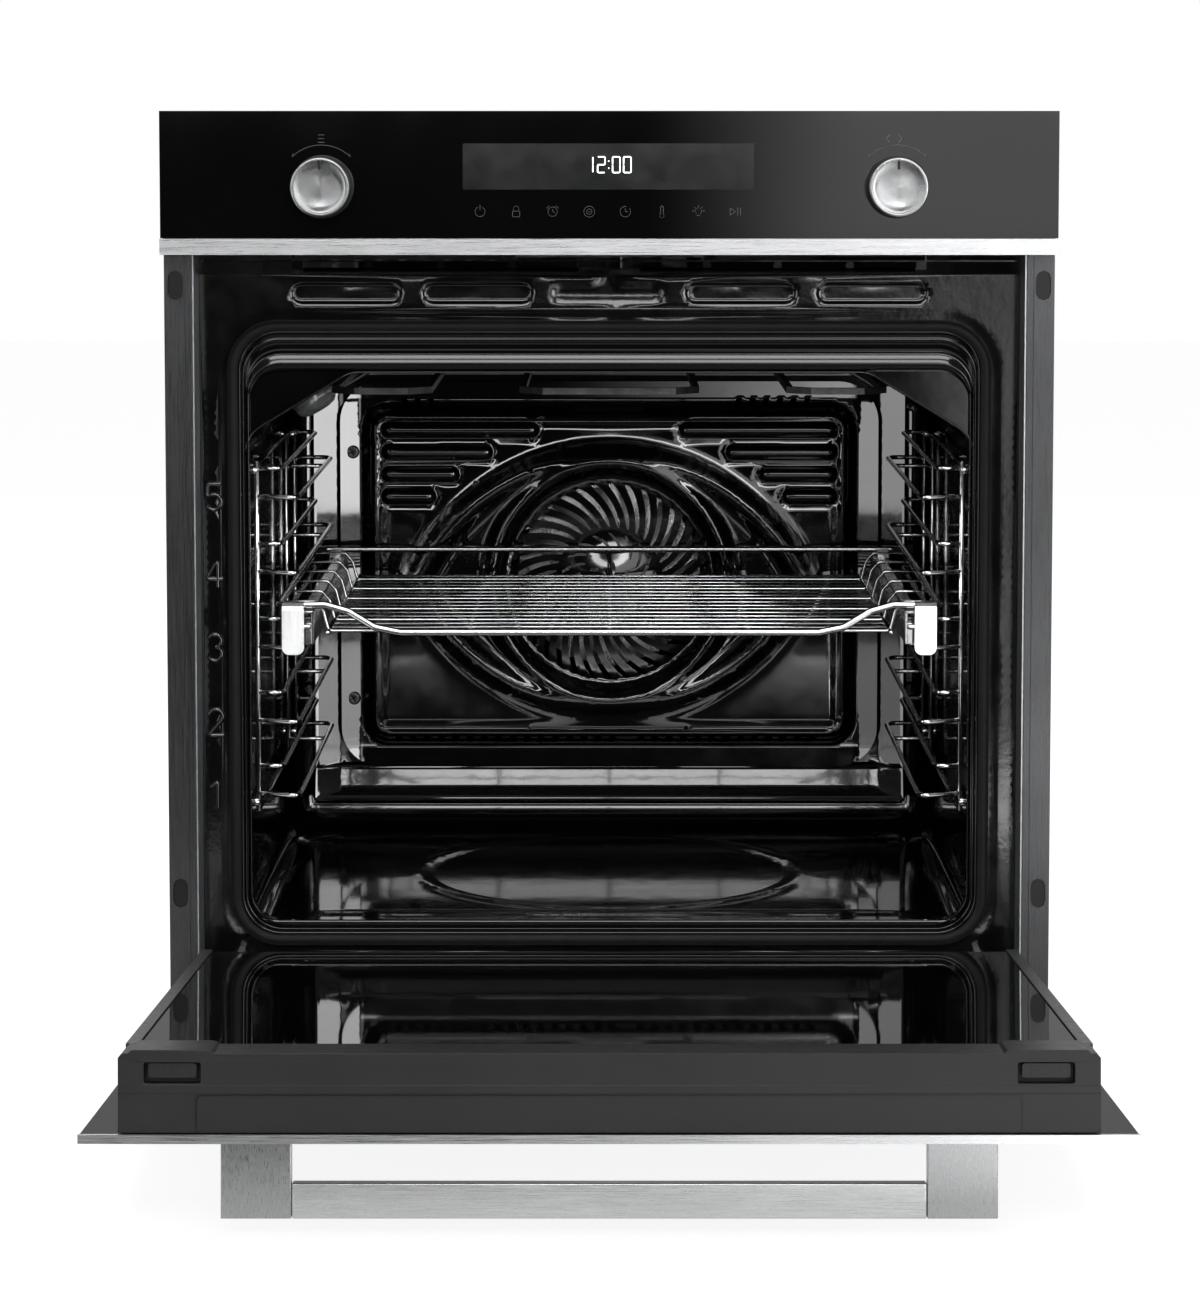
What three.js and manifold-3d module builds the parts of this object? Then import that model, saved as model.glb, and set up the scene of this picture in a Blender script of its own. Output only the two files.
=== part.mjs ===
// Built-in wall oven, millimetres. X right, Y into the wall, Z up.
// Drawn in a cabinet frame whose Y = 0 is the rear face of the front frame, then
// shifted so that the origin is the centre of the housing's underside.
import * as THREE from "three";
import { mergeVertices } from "three/addons/utils/BufferGeometryUtils.js";
import Module from "manifold-3d";

const wasm = await Module();
wasm.setup();

const HOUSING_D = 545;
const PIVOT = { y: 8, z: 4 }; // door hinge line in the cabinet frame
const OPEN = 85.5; // degrees the door stands open

// ---------------------------------------------------------------- solids
const S = (g) => {
  const n = g.index ? g.toNonIndexed() : g.clone();
  for (const k of Object.keys(n.attributes))
    if (k !== "position") n.deleteAttribute(k);
  const m = mergeVertices(n, 1e-4);
  return new wasm.Manifold(
    new wasm.Mesh({
      numProp: 3,
      vertProperties: new Float32Array(m.attributes.position.array),
      triVerts: new Uint32Array(m.index.array),
    }),
  );
};
const join = (list) => list.reduce((a, b) => a.add(b));
const cut = (a, list) => (list.length ? a.subtract(join(list)) : a);
const box = (x0, x1, y0, y1, z0, z1) =>
  S(
    new THREE.BoxGeometry(x1 - x0, y1 - y0, z1 - z0).translate(
      (x0 + x1) / 2,
      (y0 + y1) / 2,
      (z0 + z1) / 2,
    ),
  );
const BASIS = {
  x: [[0, 1, 0], [0, 0, 1], [1, 0, 0]],
  y: [[1, 0, 0], [0, 0, 1], [0, -1, 0]],
  z: [[1, 0, 0], [0, 1, 0], [0, 0, 1]],
};
// pts: outline in (y,z) for x, (x,z) for y, (x,y) for z
function prism(axis, pts, a, b, holes = []) {
  const shape = new THREE.Shape(pts.map((p) => new THREE.Vector2(...p)));
  for (const h of holes)
    shape.holes.push(new THREE.Path(h.map((p) => new THREE.Vector2(...p))));
  const g = new THREE.ExtrudeGeometry(shape, {
    depth: b - a,
    bevelEnabled: false,
    curveSegments: 1,
  });
  const m = new THREE.Matrix4().makeBasis(
    ...BASIS[axis].map((v) => new THREE.Vector3(...v)),
  );
  g.applyMatrix4(m);
  if (axis === "x") g.translate(a, 0, 0);
  if (axis === "y") g.translate(0, b, 0);
  if (axis === "z") g.translate(0, 0, a);
  return S(g);
}
const circle = (cx, cy, r, n = 16, a0 = 0) =>
  Array.from({ length: n }, (_, i) => {
    const a = a0 + (2 * Math.PI * i) / n;
    return [cx + r * Math.cos(a), cy + r * Math.sin(a)];
  });
const cyl = (axis, c, r, a, b, n = 16) => prism(axis, circle(...c, r, n), a, b);
function rrect(x0, x1, y0, y1, r, n = 3) {
  const out = [];
  const corner = (cx, cy, a) => {
    for (let i = 0; i <= n; i++) {
      const t = a + (Math.PI / 2) * (i / n);
      out.push([cx + r * Math.cos(t), cy + r * Math.sin(t)]);
    }
  };
  corner(x1 - r, y1 - r, 0);
  corner(x0 + r, y1 - r, Math.PI / 2);
  corner(x0 + r, y0 + r, Math.PI);
  corner(x1 - r, y0 + r, 1.5 * Math.PI);
  return out;
}
// slot with round ends between two centres, as an outline
function capsule(x0, y0, x1, y1, r, n = 4) {
  const a = Math.atan2(y1 - y0, x1 - x0);
  const out = [];
  for (let i = 0; i <= n; i++) {
    const t = a - Math.PI / 2 + (Math.PI * i) / n;
    out.push([x1 + r * Math.cos(t), y1 + r * Math.sin(t)]);
  }
  for (let i = 0; i <= n; i++) {
    const t = a + Math.PI / 2 + (Math.PI * i) / n;
    out.push([x0 + r * Math.cos(t), y0 + r * Math.sin(t)]);
  }
  return out;
}
// mitred wire through points
function wire(points, r, seg = 4, closed = false) {
  const P = points.map((p) => new THREE.Vector3(...p));
  const n = P.length;
  const dir = (i) => P[(i + 1) % n].clone().sub(P[i]).normalize();
  const first = dir(0);
  let u = new THREE.Vector3(0, 0, 1);
  if (Math.abs(first.dot(u)) > 0.9) u.set(1, 0, 0);
  u.sub(first.clone().multiplyScalar(first.dot(u))).normalize();
  const rings = [];
  for (let i = 0; i < n; i++) {
    let din, dout;
    if (closed) {
      din = dir((i + n - 1) % n);
      dout = dir(i);
      if (i === 0) {
        // carry the starting frame back to the incoming direction
        u.applyQuaternion(
          new THREE.Quaternion().setFromUnitVectors(dout, din),
        );
      }
    } else {
      din = i ? dir(i - 1) : dir(0);
      dout = i < n - 1 ? dir(i) : dir(n - 2);
    }
    const nrm = din.clone().add(dout).normalize();
    const v = din.clone().cross(u);
    const ring = [];
    for (let k = 0; k < seg; k++) {
      const t = (2 * Math.PI * (k + 0.5)) / seg;
      const o = u
        .clone()
        .multiplyScalar(r * Math.cos(t))
        .add(v.clone().multiplyScalar(r * Math.sin(t)));
      o.add(din.clone().multiplyScalar(-o.dot(nrm) / din.dot(nrm)));
      ring.push(P[i].clone().add(o));
    }
    rings.push(ring);
    u.applyQuaternion(new THREE.Quaternion().setFromUnitVectors(din, dout));
  }
  const pos = [];
  const tri = (a, b, c) => pos.push(...a.toArray(), ...b.toArray(), ...c.toArray());
  const last = closed ? n : n - 1;
  for (let i = 0; i < last; i++) {
    const A = rings[i], B = rings[(i + 1) % n];
    for (let k = 0; k < seg; k++) {
      const l = (k + 1) % seg;
      tri(A[k], A[l], B[l]);
      tri(A[k], B[l], B[k]);
    }
  }
  if (!closed) {
    const A = rings[0], B = rings[n - 1];
    for (let k = 1; k < seg - 1; k++) {
      tri(A[0], A[k + 1], A[k]);
      tri(B[0], B[k], B[k + 1]);
    }
  }
  const g = new THREE.BufferGeometry().setAttribute(
    "position",
    new THREE.Float32BufferAttribute(pos, 3),
  );
  return S(g);
}
// turned body about an axis along Y through (cx, cz); profile of [radius, y]
function turnedY(profile, cx, cz, n = 24) {
  const g = new THREE.LatheGeometry(
    profile.map((p) => new THREE.Vector2(p[0], p[1])),
    n,
  );
  g.translate(cx, 0, cz);
  return S(g);
}
const flip = (m) => {
  // mirrored in X, faces turned back
  const s = m.getMesh(), np = s.numProp;
  const v = new Float32Array(s.numVert * 3);
  for (let i = 0; i < s.numVert; i++) {
    v[3 * i] = -s.vertProperties[i * np];
    v[3 * i + 1] = s.vertProperties[i * np + 1];
    v[3 * i + 2] = s.vertProperties[i * np + 2];
  }
  const t = new Uint32Array(s.triVerts);
  for (let i = 0; i < t.length; i += 3) [t[i + 1], t[i + 2]] = [t[i + 2], t[i + 1]];
  return new wasm.Manifold(
    new wasm.Mesh({ numProp: 3, vertProperties: v, triVerts: t }),
  );
};

// ---------------------------------------------------------------- scene tree
const root = new THREE.Group();
root.name = "wall_oven";
const cabinet = new THREE.Group();
cabinet.position.y = -HOUSING_D / 2;
root.add(cabinet);
const door = new THREE.Group();
door.position.set(0, PIVOT.y, PIVOT.z);
door.rotation.x = THREE.MathUtils.degToRad(OPEN);
cabinet.add(door);

const MAT = {
  enamel: [0x0c0d0f, 0.3, 0.18],
  glass: [0x070809, 0.1, 0.06],
  steel: [0xb9bbbd, 1, 0.3],
  chrome: [0xd4d5d6, 1, 0.12],
  zinc: [0xa2a6a9, 0.9, 0.45],
  plastic: [0x2a2b2e, 0, 0.5],
  rubber: [0x2b2b2c, 0, 0.85],
  wool: [0xd9d2b8, 0, 0.95],
  board: [0x1d5b36, 0, 0.6],
  ceramic: [0xe8e4da, 0, 0.5],
  clear: [0xdfe8ea, 0, 0.08],
  element: [0x4a4a4c, 0.8, 0.4],
  copper: [0x9d6a3a, 0.8, 0.4],
};
function put(name, solidBody, mat, parent = cabinet) {
  const s = solidBody.getMesh(), np = s.numProp;
  const v = new Float32Array(s.numVert * 3);
  for (let i = 0; i < s.numVert; i++)
    v.set(s.vertProperties.subarray(i * np, i * np + 3), i * 3);
  let g = new THREE.BufferGeometry();
  g.setAttribute("position", new THREE.BufferAttribute(v, 3));
  g.setIndex(new THREE.BufferAttribute(new Uint32Array(s.triVerts), 1));
  if (parent === door) g.translate(0, -PIVOT.y, -PIVOT.z);
  g = g.toNonIndexed();
  g.computeVertexNormals();
  const [color, metalness, roughness] = MAT[mat];
  const mesh = new THREE.Mesh(
    g,
    new THREE.MeshStandardMaterial({
      color,
      metalness,
      roughness,
      transparent: mat === "clear",
      opacity: mat === "clear" ? 0.5 : 1,
    }),
  );
  mesh.name = name;
  parent.add(mesh);
  return mesh;
}

// ---------------------------------------------------------------- housing
{
  const tray = join([
    box(-277.7, 277.7, 0.3, 537.6, 0, 1),
    box(-277.7, 277.7, 536.6, 537.6, 0, 12),
    box(-277.7, -276.7, 37.5, 537.6, 0, 12),
    box(276.7, 277.7, 37.5, 537.6, 0, 12),
  ]);
  const notches = [-1, 1].map((s) =>
    box(Math.min(s * 246, s * 263), Math.max(s * 246, s * 263), -1, 40, -1, 5),
  );
  put("base_pan", cut(tray, notches), "zinc");

  const slots = [];
  for (let i = 0; i < 6; i++)
    slots.push(box(270, 285, 397.5 + i * 18, 402.5 + i * 18, 500, 545));
  const side = cut(box(278, 279, 0.3, 537.6, 1.3, 575.7), slots);
  put("right_side_panel", side, "zinc");
  put("left_side_panel", flip(side), "zinc");

  const vents = [];
  for (let i = 0; i < 9; i++)
    vents.push(box(-222.6 + i * 18, -217.4 + i * 18, 530, 545, 505, 550));
  for (let i = 0; i < 6; i++)
    vents.push(box(-47.6 + i * 18, -42.4 + i * 18, 530, 545, 60, 100));
  vents.push(cyl("y", [205, 505], 11.6, 530, 545, 16));
  const rear = box(-279, 279, 538, 539, 0, 577);
  put("rear_cover", cut(rear, vents), "zinc");

  const tv = [];
  for (let i = 0; i < 8; i++)
    tv.push(box(-93 + i * 24, -87 + i * 24, 360, 430, 570, 580));
  put("top_cover", cut(box(-279, 279, 0.3, 537.6, 576, 577), tv), "zinc");
}

// ---------------------------------------------------------------- front frame
{
  let ring = prism(
    "y",
    [[-297.5, -5], [297.5, -5], [297.5, 590], [-297.5, 590]],
    -2,
    0,
    [[[-283.8, 7], [-283.8, 575], [283.8, 575], [283.8, 7]]],
  );
  const lip = (s) =>
    box(Math.min(s * 279.4, s * 285), Math.max(s * 279.4, s * 285), -1, 0, 7.5, 576);
  ring = join([ring, lip(1), lip(-1)]);
  const cuts = [];
  for (const s of [-1, 1]) {
    cuts.push(prism("y", capsule(s * 290, 469, s * 290, 479, 5), -3, 1));
    cuts.push(prism("y", capsule(s * 290, 58, s * 290, 68, 5), -3, 1));
    cuts.push(box(Math.min(s * 246, s * 263), Math.max(s * 246, s * 263), -3, 1, -4, 9));
  }
  put("front_frame", cut(ring, cuts), "steel");
}

// ---------------------------------------------------------------- front plate
const CAVITY = (h, zb, zt, zs, dx) => [
  [-h, zb], [h, zb], [h, zs], [h - dx, zt], [-h + dx, zt], [-h, zs],
];
{
  const hole = rrect(-247, 247, 36, 412, 30, 3);
  let plate = prism(
    "y",
    [[-277.7, 7], [277.7, 7], [277.7, 480], [-277.7, 480]],
    35,
    37,
    [hole.reverse()],
  );
  const cuts = [];
  for (const cx of [-178, -89, -1, 89, 178])
    cuts.push(prism("y", capsule(cx - 30.8, 467.2, cx + 30.8, 467.2, 7, 6), 34, 38));
  for (const s of [-1, 1])
    cuts.push(box(Math.min(s * 248.4, s * 254.6), Math.max(s * 248.4, s * 254.6), 34, 38, 6, 20));
  put("front_plate", cut(plate, cuts), "enamel");
}
put(
  "door_gasket",
  prism("y", rrect(-259.4, 259.4, 20.2, 448.8, 34, 5), 27.9, 34.7, [
    rrect(-248, 248, 31.7, 437.3, 23, 5).reverse(),
  ]),
  "rubber",
);

// ---------------------------------------------------------------- cavity
const LAMP = { x: -225, y: 318, z: 383.2 };
const LAMP_N = new THREE.Vector3(0.515, 0, -0.857).normalize();
const alongLamp = (r, a, b, n = 20) => {
  const g = new THREE.CylinderGeometry(r, r, b - a, n);
  g.translate(0, (a + b) / 2, 0);
  g.applyQuaternion(
    new THREE.Quaternion().setFromUnitVectors(new THREE.Vector3(0, 1, 0), LAMP_N),
  );
  g.translate(LAMP.x, LAMP.y, LAMP.z);
  return S(g);
};
{
  const outer = prism("y", CAVITY(248.5, 34.5, 414.5, 371, 72), 37.3, 436.5);
  const inner = prism("y", CAVITY(247, 36, 413, 370, 71), 36, 435);
  const planOut = prism(
    "z",
    [[-248.5, 37.3], [248.5, 37.3], [248.5, 417], [230, 436.5], [-230, 436.5], [-248.5, 417]],
    30,
    420,
  );
  const planIn = prism(
    "z",
    [[-247, 36], [247, 36], [247, 416.4], [229.4, 435], [-229.4, 435], [-247, 416.4]],
    30,
    420,
  );
  let shell = outer.intersect(planOut).add(box(-191.5, 191.5, 434, 481.5, 93.5, 371.5));
  const hollow = inner.intersect(planIn).add(box(-190, 190, 434, 480, 95, 370));
  // pressed ring in the floor
  const emboss = prism("z", circle(0, 222, 139, 24), 33.5, 36.8, [circle(0, 222, 133, 24).reverse()]);
  shell = shell.subtract(hollow);
  shell = shell.add(emboss.intersect(box(-150, 150, 60, 380, 34.8, 36.8)));
  shell = cut(shell, [
    alongLamp(20, -12, 12),
    cyl("y", [0, 228], 7, 478, 484, 12),
    cyl("y", [-30, 398], 4.6, 432, 440, 8),
    cyl("y", [30, 398], 4.6, 432, 440, 8),
    cyl("y", [-20, 129.5], 5.4, 478, 484, 8),
    cyl("y", [20, 129.5], 5.4, 478, 484, 8),
  ]);
  put("cavity_liner", shell, "enamel");

  let blanket = box(-270, 270, 60, 500, 12, 438);
  blanket = cut(blanket, [
    box(-250, 250, 59, 438, 22, 416.5),
    box(-193.5, 193.5, 437, 484, 92, 373),
    cyl("y", [0, 228], 44, 480, 501, 20),
    cyl("y", [-30, 398], 6, 430, 501, 8),
    cyl("y", [30, 398], 6, 430, 501, 8),
    cyl("y", [-30, 27.5], 5, 430, 501, 8),
    cyl("y", [30, 27.5], 5, 430, 501, 8),
    cyl("y", [-20, 129.5], 6.5, 480, 501, 8),
    cyl("y", [20, 129.5], 6.5, 480, 501, 8),
    box(-266, -244, 50, 112, 8, 37),
    box(244, 266, 50, 112, 8, 37),
    alongLamp(25, -56, 5),
  ]);
  put("insulation_blanket", blanket, "wool");

  // lamp in the left ceiling slope
  const socket = cut(join([alongLamp(24, -50, -2.4), ]), [alongLamp(19, -44, 0)]);
  put("lamp_socket", socket, "ceramic");
  put(
    "lamp_bulb",
    join([alongLamp(9, -43.6, -30, 12), alongLamp(12, -30.4, -8, 12)]),
    "clear",
  );
  put(
    "lamp_cover",
    join([alongLamp(18.6, -6, 4, 24), alongLamp(15.5, 3.9, 7, 24)]),
    "clear",
  );
}

// ---------------------------------------------------------------- heaters
put(
  "grill_element",
  wire(
    [
      [-30, 486, 398], [-30, 400, 398], [-175, 400, 398], [-190, 385, 398],
      [-190, 95, 398], [-175, 80, 398], [-140, 80, 398], [-125, 95, 398],
      [-125, 330, 398], [-110, 345, 398], [-75, 345, 398], [-60, 330, 398],
      [-60, 95, 398], [-45, 80, 398], [45, 80, 398], [60, 95, 398],
      [60, 330, 398], [75, 345, 398], [110, 345, 398], [125, 330, 398],
      [125, 95, 398], [140, 80, 398], [175, 80, 398], [190, 95, 398],
      [190, 385, 398], [175, 400, 398], [30, 400, 398], [30, 486, 398],
    ],
    3.2,
  ),
  "element",
);
put(
  "bottom_element",
  wire(
    [
      [-30, 505, 27.5], [-30, 395, 27.5], [-175, 395, 27.5], [-190, 380, 27.5],
      [-190, 95, 27.5], [-175, 80, 27.5], [175, 80, 27.5], [190, 95, 27.5],
      [190, 380, 27.5], [175, 395, 27.5], [30, 395, 27.5], [30, 505, 27.5],
    ],
    3.1,
  ),
  "element",
);
{
  const pts = [[-20, 506, 129.5], [-20, 456, 129.5]];
  const n = 20, a0 = -Math.PI / 2 - 0.2, a1 = -Math.PI / 2 - 2 * Math.PI + 0.2;
  for (let i = 0; i <= n; i++) {
    const a = a0 + ((a1 - a0) * i) / n;
    pts.push([100.5 * Math.cos(a), 456, 228 + 100.5 * Math.sin(a)]);
  }
  pts.splice(2, 1);
  pts.pop();
  pts.push([20, 456, 129.5], [20, 506, 129.5]);
  put("ring_element", wire(pts, 4, 5), "element");
}

// ---------------------------------------------------------------- hot-air fan
{
  const blades = [];
  const n = 8;
  for (let i = 0; i < n; i++) {
    const a = (2 * Math.PI * i) / n, b = a + 0.32;
    const p = (r, t, w) => [
      r * Math.cos(t) - w * Math.sin(t),
      228 + r * Math.sin(t) + w * Math.cos(t),
    ];
    blades.push(
      prism("y", [p(28, a, -0.8), p(70, b, -0.8), p(70, b, 0.8), p(28, a, 0.8)], 446, 470.4),
    );
  }
  put(
    "convection_fan",
    join([
      cyl("y", [0, 228], 72, 470, 471.5, 24),
      cyl("y", [0, 228], 11, 449, 471, 12),
      cyl("y", [0, 228], 4, 471, 506, 10),
      ...blades,
    ]),
    "steel",
  );
  const body = join([
    cyl("y", [0, 228], 40, 489, 520, 20),
    cyl("y", [0, 228], 16, 518, 532, 12),
    box(-42, 42, 486, 489.5, 220, 236),
  ]);
  put("fan_motor", cut(body, [cyl("y", [0, 228], 4.6, 480, 510, 10)]), "zinc");
}

// ---------------------------------------------------------------- fan baffle
{
  const border = prism("y", rrect(-209, 209, 81, 383, 31, 3), 430.5, 432);
  const pan = cut(prism("y", rrect(-194, 194, 96, 368, 20, 3), 420, 432), [
    prism("y", rrect(-192.5, 192.5, 97.5, 366.5, 18.5, 3), 421.5, 433),
  ]);
  let b = cut(border, [prism("y", rrect(-193, 193, 97, 367, 19, 3), 430, 433)]).add(pan);
  const cuts = [];
  const slot = (pts) => cuts.push(prism("y", pts, 419, 423));
  // long side louvres, four each side, shorter towards the middle
  [[346, 44], [329, 82], [312, 112], [294, 132]].forEach(([z, x], i) => {
    const inner = [42, 84, 116, 136][i];
    slot([[-171, z - 4], [-inner - 4, z - 4], [-inner - 9, z + 5], [-171, z + 5]]);
    slot([[inner + 4, z - 4], [171, z - 4], [171, z + 5], [inner + 9, z + 5]]);
  });
  // slanted slots along the top
  for (const x of [-160, -149, -138.5, 99, 110, 121, 132, 143, 154])
    slot([[x - 3, 370 - 15], [x, 370 - 15], [x + 3, 370 - 6], [x, 370 - 6]]);
  // bottom row
  for (let i = 0; i < 13; i++) {
    const x = -155 + i * 24.8;
    slot([[x - 9, 101.5], [x + 9, 101.5], [x + 9, 105.5], [x - 9, 105.5]]);
  }
  // swirled intake slots in front of the fan
  const polar = (r, a) => [r * Math.cos(a), 228 + r * Math.sin(a)];
  const N = 22;
  for (let i = 0; i < N; i++) {
    const a = (2 * Math.PI * i) / N, t = 0.36;
    slot([
      polar(43, a - 0.05), polar(76, a + t - 0.035),
      polar(76, a + t + 0.035), polar(43, a + 0.05),
    ]);
  }
  for (let i = 0; i < 10; i++) {
    const a = (2 * Math.PI * i) / 10;
    slot([polar(21, a - 0.1), polar(38, a + 0.26), polar(38, a + 0.38), polar(21, a + 0.1)]);
  }
  for (const [x, z] of [[-200, 328], [-200, 135], [201, 233]])
    cuts.push(cyl("y", [x, z], 2.3, 429, 433, 8));
  put("fan_baffle", cut(b, cuts), "enamel");
  [[-200, 328], [-200, 135], [201, 233]].forEach(([x, z], i) => {
    put(
      "baffle_screw_" + (i + 1),
      join([
        cyl("y", [x, z], 5.2, 428.4, 430.2, 10),
        cyl("y", [x, z], 3.4, 427.2, 428.6, 8),
        cyl("y", [x, z], 1.8, 430, 434.6, 6),
      ]),
      "steel",
    );
  });
}

// ---------------------------------------------------------------- side racks
{
  const LOW = [327, 275, 223, 172, 121];
  const parts = [];
  const X = 242;
  for (const z of LOW) {
    parts.push(
      wire(
        [
          [X, 56, z], [218, 50, z], [213.5, 54, z], [213.5, 388, z], [218, 394, z], [X, 391, z],
        ],
        1.9,
      ),
    );
    parts.push(
      wire(
        [
          [X, 58, z + 19.5], [225, 60, z + 19.5], [225, 386, z + 19.5], [X, 391, z + 19.5],
        ],
        1.9,
      ),
    );
  }
  parts.push(wire([[X, 60, 108], [X, 60, 352]], 2.2));
  parts.push(wire([[X, 312, 108], [X, 312, 352]], 2.2));
  parts.push(wire([[X, 391, 108], [X, 391, 352]], 2.2));
  parts.push(wire([[X, 62, 110], [X, 390, 110]], 2.2));
  parts.push(wire([[X, 62, 350], [X, 390, 350]], 2.2));
  // studs that stand on the cavity wall
  for (const [y, z] of [[60, 115], [60, 345], [391, 115], [391, 345]])
    parts.push(cyl("x", [y, z], 3.4, X - 1, 246.6, 6));
  // ties between the wire pairs at the posts
  for (const z of [LOW[0], LOW[2], LOW[4]])
    parts.push(wire([[213.5, 312, z], [X, 312, z]], 1.9));
  const right = join(parts);
  put("right_shelf_support", right, "chrome");
  put("left_shelf_support", flip(right), "chrome");
}

// ---------------------------------------------------------------- runners
{
  const rail = join([
    box(209.6, 211.2, 56, 408, 224.6, 246),
    box(207, 211.2, 56, 408, 224.6, 225.6),
    box(207, 211.2, 56, 408, 245, 246),
    box(210, 216.5, 70, 84, 226.2, 227.6),
    box(210, 216.5, 350, 364, 226.2, 227.6),
  ]);
  put("right_runner_rail", rail, "chrome");
  put("left_runner_rail", flip(rail), "chrome");
  const mid = join([
    box(207.4, 209.2, 52, 404, 226.2, 244.4),
    box(205.4, 209.2, 52, 404, 226.2, 227.4),
    box(205.4, 209.2, 52, 404, 243.2, 244.4),
  ]);
  put("right_runner_mid", mid, "chrome");
  put("left_runner_mid", flip(mid), "chrome");
  const face = prism("y", [[208, 227], [214, 221], [217.5, 221], [223, 227], [223, 257], [208, 257]], 30, 33);
  const carrier = join([
    box(203.2, 206.9, 32, 402, 228, 242.6),
    box(201.6, 204.4, 32, 402, 228, 250.4),
    box(201.6, 211, 32, 402, 248.6, 250.4),
    box(202, 212, 31, 36, 229, 250.4),
    face,
    box(206, 215, 384, 388, 249.8, 256.4),
  ]);
  put("right_runner_carrier", carrier, "chrome");
  put("left_runner_carrier", flip(carrier), "chrome");
}

// ---------------------------------------------------------------- wire rack
{
  const zf = 254.2, zg = 234.5;
  const parts = [];
  // perimeter frame with its front dipped between the bends
  parts.push(
    wire(
      [
        [-226, 46, zf], [-218, 38, zf], [-192, 38, zf], [-146, 38, 235.6],
        [146, 38, 235.6], [192, 38, zf], [218, 38, zf], [226, 46, zf],
        [226, 400, zf], [218, 408, zf], [-218, 408, zf], [-226, 400, zf],
      ],
      2.8,
      5,
      true,
    ),
  );
  // lower side wires
  for (const s of [-1, 1])
    parts.push(wire([[s * 193, 52, zg], [s * 193, 400, zg]], 1.9));
  // bars across
  const n = 17;
  for (let i = 0; i < n; i++) {
    const y = 56 + (i * (396 - 56)) / (n - 1);
    if (i % 3 === 0)
      parts.push(
        wire(
          [
            [-226, y, zf + 0.4], [-200, y, zf + 0.4], [-197, y, zf - 3], [-193, y, zg],
            [193, y, zg], [197, y, zf - 3], [200, y, zf + 0.4], [226, y, zf + 0.4],
          ],
          1.1,
        ),
      );
    else parts.push(wire([[-194.5, y, zg], [194.5, y, zg]], 1.1));
  }
  // struts fore and aft
  for (const x of [-97, 97])
    parts.push(
      wire([[x, 38, 235.6], [x, 50, 231.6], [x, 402, 231.6], [x, 408, zf]], 1.7),
    );
  parts.push(wire([[0, 38, 235.6], [0, 50, 231.6], [0, 402, 231.6], [0, 408, zf]], 1.7));
  put("wire_rack", join(parts), "chrome");
}

// ---------------------------------------------------------------- control panel
{
  const glass = cut(box(-297.5, 297.5, -22, -18, 506, 590), [
    cyl("y", [-190, 540], 5, -23, -17, 16),
    cyl("y", [190, 540], 5, -23, -17, 16),
  ]);
  put("control_panel_glass", glass, "glass");
  put(
    "control_panel_trim",
    cut(box(-298, 298, -23, -2.3, 495, 505.7), [box(-296, 296, -20.5, -1, 497, 510)]),
    "steel",
  );
  let carrier = cut(box(-292, 292, -17.7, -2.3, 507, 588), [
    box(-290, 290, -15.7, -1, 509, 586),
    box(-103, 101, -18, -15, 531, 576),
    cyl("y", [-190, 540], 6, -18, -15, 16),
    cyl("y", [190, 540], 6, -18, -15, 16),
  ]);
  for (const x of [-145, 145]) carrier = carrier.add(box(x - 1, x + 1, -16, -3, 508, 587));
  put("panel_carrier", carrier, "plastic");
  put(
    "display_module",
    join([
      box(-101.5, 99.5, -17.6, -12, 532.5, 574.5),
      box(-130, 130, -13, -11.4, 512, 582),
      box(-60, -20, -11.8, -6, 540, 570),
      box(10, 50, -11.8, -4, 545, 575),
      box(-90, -70, -11.8, -5, 545, 570),
    ]),
    "board",
  );
  for (const [s, name] of [[-1, "left_encoder"], [1, "right_encoder"]]) {
    const cx = s * 190;
    const body = cut(
      join([
        cyl("y", [cx, 540], 15, -15.3, -4, 20),
        box(cx - 22, cx + 22, -6, -4.4, 522, 558),
      ]),
      [cyl("y", [cx, 540], 3.4, -20, -6.5, 12)],
    );
    put(name, body, "zinc");
  }
  const knob = (cx) => {
    const body = turnedY(
      [
        [0, -44.9], [17.8, -46], [18.9, -45.4], [19.9, -42.6], [19.2, -24],
        [17, -22.6], [3, -22.6], [3, -8], [0, -8],
      ],
      cx,
      540,
      24,
    );
    // index line pressed in the face
    return cut(body, [box(cx - 0.8, cx + 0.8, -48, -44.2, 551, 558.5)]);
  };
  put("function_knob", knob(-190), "steel");
  put("selector_knob", knob(190), "steel");
}

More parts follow.
